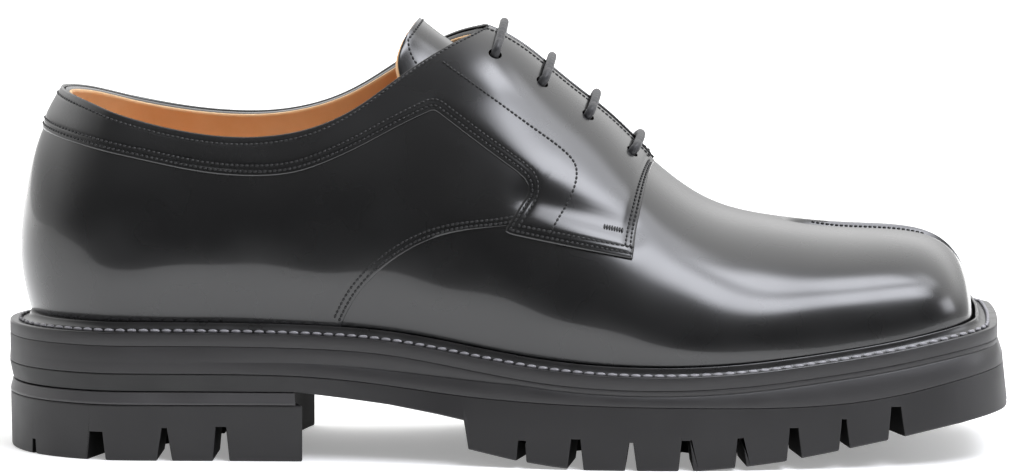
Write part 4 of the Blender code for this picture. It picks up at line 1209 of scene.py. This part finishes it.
# How far a handle lies from the edge, in mm, and the table's row at the peak.
STRIP_LEAVE, STRIP_PEAK = 10.0, 16
strip_run = np.concatenate([
    [0], np.cumsum(np.linalg.norm(np.diff(STRIP, axis=0)[:, :2], axis=1) + 0.4)
])
strip_runs = np.unique(np.concatenate([np.linspace(0, strip_run[-1], 190), strip_run]))
print(len(strip_runs), "cross lines on each side, up to the heel")


# %% Cross lines of the strip
def strip_curve(run, column):
    """One column of the strip's table: straight lines to its peak, then a smooth curve."""
    straight = np.interp(run, strip_run, STRIP[:, column])
    curve = spline(strip_run[STRIP_PEAK:], STRIP[STRIP_PEAK:, column], run)
    return np.where(run < strip_run[STRIP_PEAK], straight, curve)


def strip_ends(side, run):
    """Row and turn of the strip's lower edge and of the mouth, that far from its front."""
    low_x, low_z, mouth_x = (strip_curve(run, i) for i in range(3))
    low_row, high_row = row_at(low_x), row_at(mouth_x)
    low = np.stack([low_row, turn_at_height(low_row, side, low_z)], -1)
    high = np.stack([high_row, mouth_turn(high_row, side)], -1)
    return low, high


def heel_ends(side, row):
    """The same along the rounded heel, by row number."""
    height = np.interp(station(row, "edge_x"), *BAND.T)
    low = np.stack([row, turn_at_height(row, side, height)], -1)
    return low, np.stack([row, mouth_turn(row, side)], -1)


def strip_lines(side):
    """Every cross line of one half of the strip, from its front to the heel's back: its lower
    end, a handle that it bends towards, and its end at the mouth."""
    low, high = strip_ends(side, strip_runs)
    x, z, _, angle = (strip_curve(strip_runs, i) for i in range(4))
    row = row_at(x + STRIP_LEAVE * np.cos(np.radians(angle)))
    height = z + STRIP_LEAVE * np.sin(np.radians(angle))
    bend = np.stack([row, turn_at_height(row, side, height)], -1)
    bent = (strip_runs > 0) & (strip_runs < strip_run[STRIP_PEAK])
    handle = np.where(bent[:, None], bend, (low + high) / 2)
    back_low, back_high = heel_ends(side, np.linspace(HEEL_ROWS, 0, 45)[1:])
    back = back_low, (back_low + back_high) / 2, back_high
    return [np.concatenate(pair) for pair in zip((low, handle, high), back)]


def on_line(low, handle, high, share):
    """Row and turn on each cross line, a share of the way from its lower end."""
    share = np.clip(share, 0, 1)[:, None]
    return (1 - share) ** 2 * low + 2 * share * (1 - share) * handle + share**2 * high


def gap_between(places, others):
    """Distance in mm between pairs of places on the last."""
    ends = (last_point(p[:, 0], p[:, 1]) for p in (places, others))
    return np.linalg.norm(next(ends) - next(ends), axis=-1)


def across(low, handle, high, distance, from_mouth=False):
    """Row and turn on each cross line at a distance in mm from one of its ends."""
    if from_mouth:
        return on_line(low, handle, high, 1 - distance / (2 * gap_between(handle, high)))
    return on_line(low, handle, high, distance / (2 * gap_between(low, handle)))


front, *_, back = gap_between(*strip_lines(LATERAL)[::2])
print("strip", round(front, 1), "mm wide at its front and", round(back, 1), "at the heel's back")


# %% Lines beside the strip's edge
def edge_distance(points, edge):
    """Shortest distance of each point from a line of edge points."""
    best = np.full(points.shape[:-1], np.inf)
    for start, step in zip(edge[:-1], np.diff(edge, axis=0)):
        share = np.clip((points - start) @ step / (step @ step), 0, 1)
        away = np.linalg.norm(points - start - share[..., None] * step, axis=-1)
        best = np.minimum(best, away)
    return best


def edge_row(side, distance):
    """Rows and turns of a line that keeps a distance in mm from the strip's lower edge."""
    run = np.linspace(0, strip_run[-1], 1200)
    edge = np.column_stack([strip_curve(run, 0), strip_curve(run, 1)])
    along = unit(np.gradient(edge, axis=0))
    line = edge + np.column_stack([along[:, 1], -along[:, 0]]) * distance
    line = line[edge_distance(line, edge) > distance - 0.03]
    row = row_at(line[:, 0])
    front = np.stack([row, turn_at_height(row, side, line[:, 1])], -1)
    heel = [ends[len(strip_runs):] for ends in strip_lines(side)]
    return np.concatenate([front, across(*heel, distance)])


print(len(edge_row(LATERAL, EDGE_STITCH[0])), "points along the first stitch line")

# %% The strip's sheet
LOW_STEPS = np.array([0.0, 0.45, 0.9, 1.3, 1.7, 2.15, 2.6, 3.0, 3.4, 3.9])
RIM_STEPS = np.array([4.0, 3.3, 2.8, 2.3, 1.8, 1.2, 0.6, 0.0])
MIDDLE_COLUMNS = 22


def strip_columns(side):
    """Rows, turns and offsets of one half of the strip, line by line."""
    low, handle, high = lines = strip_lines(side)
    first = LOW_STEPS[-1] / (2 * gap_between(low, handle))
    last = 1 - RIM_STEPS[0] / (2 * gap_between(handle, high))
    near = [across(*lines, d) for d in LOW_STEPS]
    rim = [across(*lines, d, True) for d in RIM_STEPS]
    shares = np.linspace(0, 1, MIDDLE_COLUMNS + 2)[1:-1]
    middle = [on_line(*lines, first + (last - first) * share) for share in shares]
    places = np.stack(near + middle + rim, 1)
    points = last_point(places[..., 0], places[..., 1])
    aside = edge_distance(points, np.concatenate([points[0, :0:-1], points[:, 0]]))
    offset = STRIP_OFFSET - SKIVE * np.clip(1 - aside / SKIVE_WIDTH, 0, 1) ** 2
    for distance in EDGE_STITCH:
        offset -= STITCH_DIP * np.exp(-((aside - distance) / STITCH_DIP_REACH) ** 2)
    offset[:, len(near) + MIDDLE_COLUMNS + list(RIM_STEPS).index(RIM_STITCH)] -= STITCH_DIP
    return places, offset


def facing_strip():
    """Both halves of the strip as one sheet, joined at the heel's back."""
    halves = []
    for side in (LATERAL, MEDIAL):
        places, offset = strip_columns(side)
        halves.append(last_point(places[..., 0], places[..., 1], offset))
    bm = grid_sheet(np.concatenate([halves[0], halves[1][::-1][1:]]))
    face_outwards(bm, away_from_foot)
    piece = add_piece(
        "facing_and_collar_band", bm, [polished], "facing_and_collar"
    )
    thicken(piece, STRIP_THICKNESS, 0.22)
    return piece


strip = facing_strip()

# %% [markdown]
# ## Lining and insole
# Inside, the shoe is lined with tan leather whose cut edge shows as a pale line round the collar.
# The lining is the last's surface again, moved inwards past the wall, and the insole is a slab of
# the sole's outline.

# %% Lining and insole
LINING_OFFSET, LINING_THICKNESS, LINING_END_X = -WALL - 0.05, 0.8, 214.0
INSOLE_THICKNESS = 3.0
# Towards the toe the insole lies further in: from this x, over this run, by so much.
INSOLE_TOE_X, INSOLE_TOE_RUN, INSOLE_TOE_INSET = 262.0, 26.0, 8.0


def insole_profile(x):
    """A board with a rounded upper edge, set further in at the toe."""
    inset = WALL + 0.95 + INSOLE_TOE_INSET * ease(ramp(x, INSOLE_TOE_X, INSOLE_TOE_RUN))
    base = midsole_top(x) + 0.4
    top = base + INSOLE_THICKNESS
    return [(-inset - 1.0, top), (-inset - 0.3, top - 0.25), (-inset, top - 0.9), (-inset, base)]


quarter_lining = add_piece(
    "quarter_lining", open_sheet(last_rows(float(row_at(LINING_END_X))), LINING_OFFSET),
    [lining, raw_edge],
)
thicken(quarter_lining, LINING_THICKNESS, 0.0)
quarter_lining.modifiers["wall"].material_offset_rim = 1
add_piece(
    "insole_sock", slab(sole_rows, insole_profile), [lining], "insole"
)

# %% [markdown]
# ## Tongue
# The tongue is a sheet of the same black leather with a tan lining behind it, arched across the
# foot and curling free of the facings at its end. A table of fold lines gives its middle, half
# width and drop, and a spline between them makes it smooth.

# %% Tongue
# x, y, z of the middle, half width, drop of the sides
TONGUE = np.array([
    (205.0, 0.5, 78.4, 17.0, 5.0), (196.0, 0.0, 85.0, 20.0, 6.5), (180.0, -1.0, 96.6, 22.0, 9.0),
    (163.0, -2.0, 107.0, 22.0, 11.5), (146.0, -2.6, 117.6, 21.0, 14.5),
    (134.0, -3.0, 125.4, 20.0, 18.0), (127.6, -3.0, 130.2, 18.0, 12.8),
    (125.4, -3.0, 131.9, 14.0, 6.7),
])
TONGUE_ARCH = math.radians(70.0)
TONGUE_LEATHER, TONGUE_LINING = 1.1, 0.8


def tongue_folds(at):
    """The tongue's table at fold numbers, which may lie between two folds."""
    return np.column_stack([spline(np.arange(len(TONGUE)), column, at) for column in TONGUE.T])


def tongue_points(share_along, share_across, sink=0.0):
    """Points of the tongue; both shares run from 0 to 1, and sink moves them inwards."""
    at = np.asarray(share_along) * (len(TONGUE) - 1)
    folds = tongue_folds(at)
    centre, half_width, drop = folds[:, :3], folds[:, 3, None], folds[:, 4, None]
    ahead = tongue_folds(at + 0.05) - tongue_folds(at - 0.05)
    up = unit(np.column_stack([ahead[:, 2], np.zeros(len(at)), -ahead[:, 0]]))
    angle = TONGUE_ARCH * (2 * np.asarray(share_across)[None, :] - 1)
    aside = half_width * np.sin(angle) / math.sin(TONGUE_ARCH)
    below = drop * (1 - np.cos(angle)) / (1 - math.cos(TONGUE_ARCH)) + sink
    points = centre[:, None] + aside[..., None] * np.array([0.0, 1.0, 0.0])
    return points - up[:, None] * below[..., None]


def tongue_sheet(name, material, sink, thickness, node=None):
    """One layer of the tongue."""
    bm = grid_sheet(tongue_points(np.linspace(0, 1, 90), np.linspace(0, 1, 40), sink))
    face_outwards(bm, lambda place: Vector((0, 0, 1)))
    piece = add_piece(name, bm, [material], node)
    thicken(piece, thickness, 0.2)


tongue_sheet("tongue_leather_sheet", polished, 0.0, TONGUE_LEATHER, "tongue")
tongue_sheet("tongue_lining", lining, TONGUE_LEATHER + 0.03, TONGUE_LINING)

# %% [markdown]
# ## Eyelets and lace
# The eyelets are plain punched holes, so a cylinder along the leather's normal cuts through the
# strip and the wall behind it. The lace is round waxed cord: a tube along a path that comes up
# through one eyelet, crosses the throat and goes down through the other. Its braid is real
# relief, two families of strands that cross, because it shows where the cord turns.

# %% Eyelets
EYELET_X = (148.5, 162.5, 176.3, 189.6)
EYELET_FROM_CENTRE, EYELET_DIAMETER, EYELET_CUT = 18.0, 4.2, 9.0
CRUMB = 0.005


def eyelet_cutter():
    """A cylinder through the leather at each eyelet."""
    bm = bmesh.new()
    for x in EYELET_X:
        for side in (LATERAL, MEDIAL):
            row = np.array(float(row_at(x)))
            turn = np.array(float(turn_at_width(row, side, EYELET_FROM_CENTRE)))
            outward = Vector(normal_of(plain_point, row, turn))
            aim = outward.to_track_quat("Z", "Y").to_matrix().to_4x4()
            bmesh.ops.create_cone(
                bm, cap_ends=True, segments=20, radius1=EYELET_DIAMETER / 2,
                radius2=EYELET_DIAMETER / 2, depth=EYELET_CUT,
                matrix=Matrix.Translation(last_point(row, turn)) @ aim,
            )
    return add_cutter("eyelet_holes", bm)


eyelet_holes = eyelet_cutter()
for piece, crumb in ((strip, CRUMB), (vamp, 0.0)):
    cut(piece, eyelet_holes)
    settle(piece, crumb=crumb)
settle(quarter_lining)
bpy.data.objects.remove(eyelet_holes)

# %% Lace
LACE_DIAMETER, BAR_LEAN = 2.8, 1.5
BRAID_PITCH, BRAID_DEPTH, BRAID_STRANDS = 2.4, 0.14, 4


def tube(path, radius, step, around=16):
    """A braided tube along a path, as a closed bmesh."""
    run = run_along(path)
    at = np.linspace(0, run[-1], int(run[-1] / step) + 1)
    line = np.column_stack([spline(run, path[:, i], at) for i in range(3)])
    along = unit(np.gradient(line, axis=0))
    side = np.zeros_like(line)
    guess = np.array([1.0, 0.0, 0.0])
    for i, direction in enumerate(along):
        guess = side[i] = unit(guess - direction * guess.dot(direction))
    up = np.cross(along, side)
    angle = np.linspace(0, 2 * math.pi, around + 1)
    wave = 2 * math.pi * at[:, None] / BRAID_PITCH
    weave = np.maximum(
        np.cos(BRAID_STRANDS / 2 * angle + wave), np.cos(BRAID_STRANDS / 2 * angle - wave)
    )
    reach = radius - BRAID_DEPTH * (1 - np.abs(weave))
    ring = np.cos(angle)[None, :, None] * side[:, None] + np.sin(angle)[None, :, None] * up[:, None]
    bm = grid_sheet(line[:, None] + ring * reach[..., None])
    bmesh.ops.remove_doubles(bm, verts=bm.verts, dist=0.001)
    bmesh.ops.holes_fill(bm, edges=[e for e in bm.edges if e.is_boundary], sides=0)
    face_outwards(bm)
    return bm


def bar_path(x):
    """Up through one eyelet, over the throat and down through the other."""
    lift = STRIP_OFFSET + 0.15 + LACE_DIAMETER / 2
    steps = [(1.0, -5.0), (1.0, -2.0), (1.0, 0.6), (0.975, lift * 0.8), (0.91, lift + 0.1)]
    over = [(s, lift) for s in (0.8, 0.66, 0.5, 0.34, 0.17)]
    half = steps + over
    path = []
    for side, part in ((LATERAL, half), (0, [(0.0, lift)]), (MEDIAL, half[::-1])):
        for share, offset in part:
            lean = BAR_LEAN * (1 - share**2)
            row = np.array(row_at(x + lean))
            turn = turn_at_width(row, side, share * EYELET_FROM_CENTRE) if side else 0.0
            path.append(last_point(row, np.array(turn), np.array(offset)))
    return np.array(path)


for number, eyelet_x in enumerate(EYELET_X, 1):
    add_piece(
        f"lace_{number}", tube(bar_path(eyelet_x), LACE_DIAMETER / 2, 0.3), [lace_cord],
        f"lace_bar_{number}", sharp=80,
    )

# %% [markdown]
# ## Stitches
# Every seam is sewn. A stitch is a short plump thread that dips into the leather at both ends, so
# a stretched ball with few faces is enough, repeated along a line of points with the surface's own
# normals. The lines are given in the last's rows and turns, as the seams are.

# %% Stitches
UPPER_PITCH, UPPER_THREAD = 1.5, 0.72
WELT_PITCH, WELT_THREAD = 3.5, 1.25


def stitch_shape():
    """A stitch of unit size: a ball whose poles are the two ends of the thread."""
    bm = bmesh.new()
    bmesh.ops.create_uvsphere(bm, u_segments=8, v_segments=5, radius=1)
    bmesh.ops.rotate(bm, verts=bm.verts, matrix=Matrix.Rotation(math.pi / 2, 3, "Y"))
    return made_mesh("stitch", bm)


one_stitch = stitch_shape()
print("one stitch", len(one_stitch.polygons), "faces")


def sew(bm, path, normals, pitch, thread, fill=0.82, turn=0.0):
    """Adds stitches along a path, one every pitch."""
    run = run_along(path)
    count = max(1, int(round(run[-1] / pitch)))
    middles = (np.arange(count) + 0.5) * run[-1] / count

    def at(values, where):
        return np.column_stack([np.interp(where, run, values[:, i]) for i in range(3)])

    centre, up = at(path, middles), at(normals, middles)
    along = at(path, middles + 0.3) - at(path, middles - 0.3)
    for place, normal, direction in zip(centre, up, along):
        z = Vector(normal).normalized()
        x = Vector(direction)
        x = (x - z * x.dot(z)).normalized()
        x = Matrix.Rotation(turn, 3, z) @ x
        basis = Matrix((x, z.cross(x), z)).transposed().to_4x4()
        size = Matrix.Diagonal((run[-1] / count * fill / 2, thread / 2, thread / 2, 1))
        stitch = one_stitch.copy()
        stitch.transform(Matrix.Translation(place) @ basis @ size)
        bm.from_mesh(stitch)
        bpy.data.meshes.remove(stitch)
    return count


def sew_places(bm, places, offset, pitch=UPPER_PITCH, thread=UPPER_THREAD, **how):
    """Stitches along rows and turns of the last, on a surface that far outside it."""
    row, turn = places[:, 0], places[:, 1]
    path = last_point(row, turn, offset)
    return sew(bm, path, normal_of(split_point, row, turn), pitch, thread, **how)


# %% Stitch lines of the upper
def height_line(line, side, count=60):
    """Rows and turns along a smooth line of x and height on one side."""
    points = along_line(np.array(line), count)
    row = row_at(points[:, 0])
    return np.stack([row, turn_at_height(row, side, points[:, 1])], -1)


FACING_LINE = [
    (133.0, 119.0), (148.6, 108.2), (162.8, 98.0), (169.6, 92.8), (173.0, 88.6), (172.8, 83.0),
    (169.4, 76.0), (165.6, 69.6),
]
# A short dense bar of thread that locks the facing's front corner.
BAR_TACK = [(181.6, 71.6), (184.6, 71.0), (187.6, 70.3)]
SPLIT_STITCH_ASIDE, SPLIT_STITCH_X = 3.4, (246.0, 281.0)
SEAM_STITCH = (1.2, 2.9)
print(len(EDGE_STITCH), "rows on the strip's edge and", len(SEAM_STITCH), "on the quarter's")


def tongue_row():
    """A row of stitches along the tongue's free end, with the surface's normals."""
    turn = np.linspace(0, math.pi, 60)
    along = 0.72 + 0.19 * np.clip(1.4 * np.sin(turn), 0, 1)
    aside = 0.5 - 0.38 * np.clip(1.5 * np.cos(turn), -1, 1)
    pick = np.arange(len(turn))

    def point(d_along, d_aside):
        return tongue_points(along + d_along, aside + d_aside)[pick, pick]

    normal = np.cross(point(0.01, 0) - point(-0.01, 0), point(0, 0.01) - point(0, -0.01))
    return point(0, 0), normal * np.sign(normal[:, 2:])


# %% Sewing
bm = bmesh.new()
count = sew(bm, *tongue_row(), UPPER_PITCH, UPPER_THREAD)
for side in (LATERAL, MEDIAL):
    lines = strip_lines(side)
    for distance in EDGE_STITCH:
        sunk = STRIP_OFFSET - SKIVE * (1 - distance / SKIVE_WIDTH) ** 2 - STITCH_DIP + 0.12
        count += sew_places(bm, edge_row(side, distance), sunk)
        front_low, front_high = strip_ends(side, np.array([distance]))
        share = np.linspace(0.06, 0.88, 30)[:, None]
        count += sew_places(bm, front_low + (front_high - front_low) * share, sunk)
    count += sew_places(bm, across(*lines, RIM_STITCH, True)[4:], STRIP_OFFSET - STITCH_DIP + 0.12)
    count += sew_places(bm, height_line(FACING_LINE, side), STRIP_OFFSET + 0.08)
    seam = QUARTER_SEAM[1:-3]
    for back in SEAM_STITCH:
        inner = np.column_stack([seam[:, 0] - back * 0.75, seam[:, 1] + back * 0.66])
        count += sew_places(bm, height_line(inner, side), QUARTER_OFFSET + 0.1)
    tack = height_line(BAR_TACK, side, 12)
    count += sew_places(
        bm, tack, STRIP_OFFSET + 0.1, pitch=0.75, thread=0.7, fill=2.4, turn=math.pi / 2
    )
split_x = np.linspace(*SPLIT_STITCH_X, 40)
split_turn = turn_at_width(row_at(split_x), MEDIAL, SPLIT_STITCH_ASIDE)
count += sew_places(bm, np.stack([row_at(split_x), split_turn], -1), 0.05)
add_piece("upper_stitches", bm, [dark_thread], sharp=180)
print(count, "stitches on the upper")

bm = bmesh.new()
closed, up = (np.concatenate([points, points[:1]]) for points in (welt_line, welt_up))
count = sew(bm, closed, up, WELT_PITCH, WELT_THREAD, fill=0.86)
add_piece("welt_stitches", bm, [grey_thread], sharp=180)
print(count, "stitches on the welt")

# %% [markdown]
# ## Studio
# Polished black leather shows little of its own colour: what is seen is the room in it. So the
# lights are placed by their reflections. A wide softbox high in front, on the toe's side, draws the
# long streak along the vamp and the highlight on the facing. Two weaker softboxes, one further
# round and one overhead, add to it, and a card lights the toe. The floor is pale and glows a
# little: its reflection is the grey band along the quarter. The room is bright behind the shoe and
# dark behind the camera, which keeps the leather black.

# %% Softboxes
LIGHT_COLOUR = linear("#f5f7ff")[:3]
# Name, place, what it points at, width and height in metres, and power in watts.
SOFTBOXES = [
    ("key_softbox", (0.54, -0.69, 1.11), (0.03, 0.0, 0.07), (1.4, 0.70), 15.0),
    ("side_softbox", (0.76, -0.10, 1.17), (0.03, 0.0, 0.07), (0.9, 0.70), 3.0),
    ("overhead_softbox", (0.36, -0.26, 1.32), (0.0, 0.0, 0.10), (0.8, 0.60), 7.0),
    ("toe_card", (1.10, -0.20, 0.42), (0.13, 0.0, 0.05), (0.7, 0.6), 2.5),
]


def add_softbox(name, place, target, size, power):
    """A rectangular light that is brightest in the middle, like cloth over a lamp."""
    data = bpy.data.lights.new(name, "AREA")
    data.shape = "RECTANGLE"
    data.size, data.size_y = size
    data.energy = power
    data.color = LIGHT_COLOUR
    data.use_nodes = True
    tree = data.node_tree
    place_on = add_node(tree, "ShaderNodeNewGeometry", {}).outputs["Parametric"]
    halves = add_node(tree, "ShaderNodeSeparateXYZ", {"Vector": place_on})
    shares = []
    for axis in ("X", "Y"):
        aside = add_node(
            tree, "ShaderNodeMath", {0: halves.outputs[axis], 1: 0.5}, operation="SUBTRACT"
        )
        away = add_node(tree, "ShaderNodeMath", {0: aside.outputs[0]}, operation="ABSOLUTE")
        shares.append(add_node(tree, "ShaderNodeMapRange", {
            "Value": away.outputs[0], "From Min": 0.5, "From Max": 0.1, "To Max": 1.5,
        }, interpolation_type="SMOOTHSTEP").outputs["Result"])
    share = add_node(tree, "ShaderNodeMath", {0: shares[0], 1: shares[1]}, operation="MULTIPLY")
    tree.links.new(share.outputs[0], tree.nodes["Emission"].inputs["Strength"])
    light = add_object(name, data)
    light.location = place
    light.rotation_euler = (Vector(target) - Vector(place)).to_track_quat("-Z", "Y").to_euler()


for softbox in SOFTBOXES:
    add_softbox(*softbox)
print(len(SOFTBOXES), "lights")

# %% Floor and world
FLOOR_FRONT_Y = -0.40


def add_floor():
    """A white table top, softly lit through; its front edge is out of the picture."""
    bm = bmesh.new()
    bmesh.ops.create_grid(bm, x_segments=1, y_segments=1, size=9.0)
    for vert in bm.verts:
        vert.co.y = max(vert.co.y, FLOOR_FRONT_Y)
    mesh = made_mesh("floor", bm)
    material = bpy.data.materials.new("pale_floor")
    material.use_nodes = True
    shader = material.node_tree.nodes["Principled BSDF"]
    shader.inputs["Base Color"].default_value = linear("#f3f3f2")
    shader.inputs["Roughness"].default_value = 0.8
    shader.inputs["Specular IOR Level"].default_value = 0.2
    shader.inputs["Emission Color"].default_value = linear("#ffffff")
    tree = material.node_tree
    place = add_node(tree, "ShaderNodeTexCoord", {}).outputs["Object"]
    back = add_node(tree, "ShaderNodeSeparateXYZ", {"Vector": place}).outputs["Y"]
    glow = add_node(tree, "ShaderNodeMapRange", {
        "Value": back, "From Min": 0.1, "From Max": 1.6, "To Min": 0.3, "To Max": 0.95,
    }, interpolation_type="SMOOTHSTEP")
    tree.links.new(glow.outputs["Result"], shader.inputs["Emission Strength"])
    mesh.materials.append(material)
    add_object("floor", mesh)


def add_world():
    """Light from above and behind, and a dark room behind the camera."""
    world = bpy.data.worlds.new("studio")
    world.use_nodes = True
    tree = world.node_tree
    direction = add_node(tree, "ShaderNodeTexCoord", {}).outputs["Generated"]
    split = add_node(tree, "ShaderNodeSeparateXYZ", {"Vector": direction})
    sideways = add_node(tree, "ShaderNodeMath", {0: split.outputs["X"]}, operation="ABSOLUTE")
    around = add_node(
        tree, "ShaderNodeMath", {0: sideways.outputs[0], 1: 0.4, 2: split.outputs["Y"]},
        operation="MULTIPLY_ADD",
    )
    behind = add_node(tree, "ShaderNodeMapRange", {
        "Value": around.outputs[0], "From Min": -0.25, "From Max": 0.45, "To Min": 0.25,
        "To Max": 1.75,
    }, interpolation_type="SMOOTHSTEP")
    above = add_node(tree, "ShaderNodeMapRange", {
        "Value": split.outputs["Z"], "From Min": 0.05, "From Max": 0.5, "To Min": 0.4,
    }, interpolation_type="SMOOTHSTEP")
    room = add_node(
        tree, "ShaderNodeMath", {0: behind.outputs["Result"], 1: above.outputs["Result"]},
        operation="MULTIPLY",
    )
    shown = add_node(tree, "ShaderNodeLightPath", {}).outputs["Is Camera Ray"]
    strength = add_node(tree, "ShaderNodeMix", {0: shown, 2: room.outputs[0], 3: 1.0})
    background = tree.nodes["Background"]
    background.inputs["Color"].default_value = linear("#ffffff")
    tree.links.new(strength.outputs[0], background.inputs["Strength"])
    bpy.context.scene.world = world


add_floor()
add_world()
bpy.context.scene.view_settings.view_transform = "Standard"
print("floor from y =", FLOOR_FRONT_Y, "m")
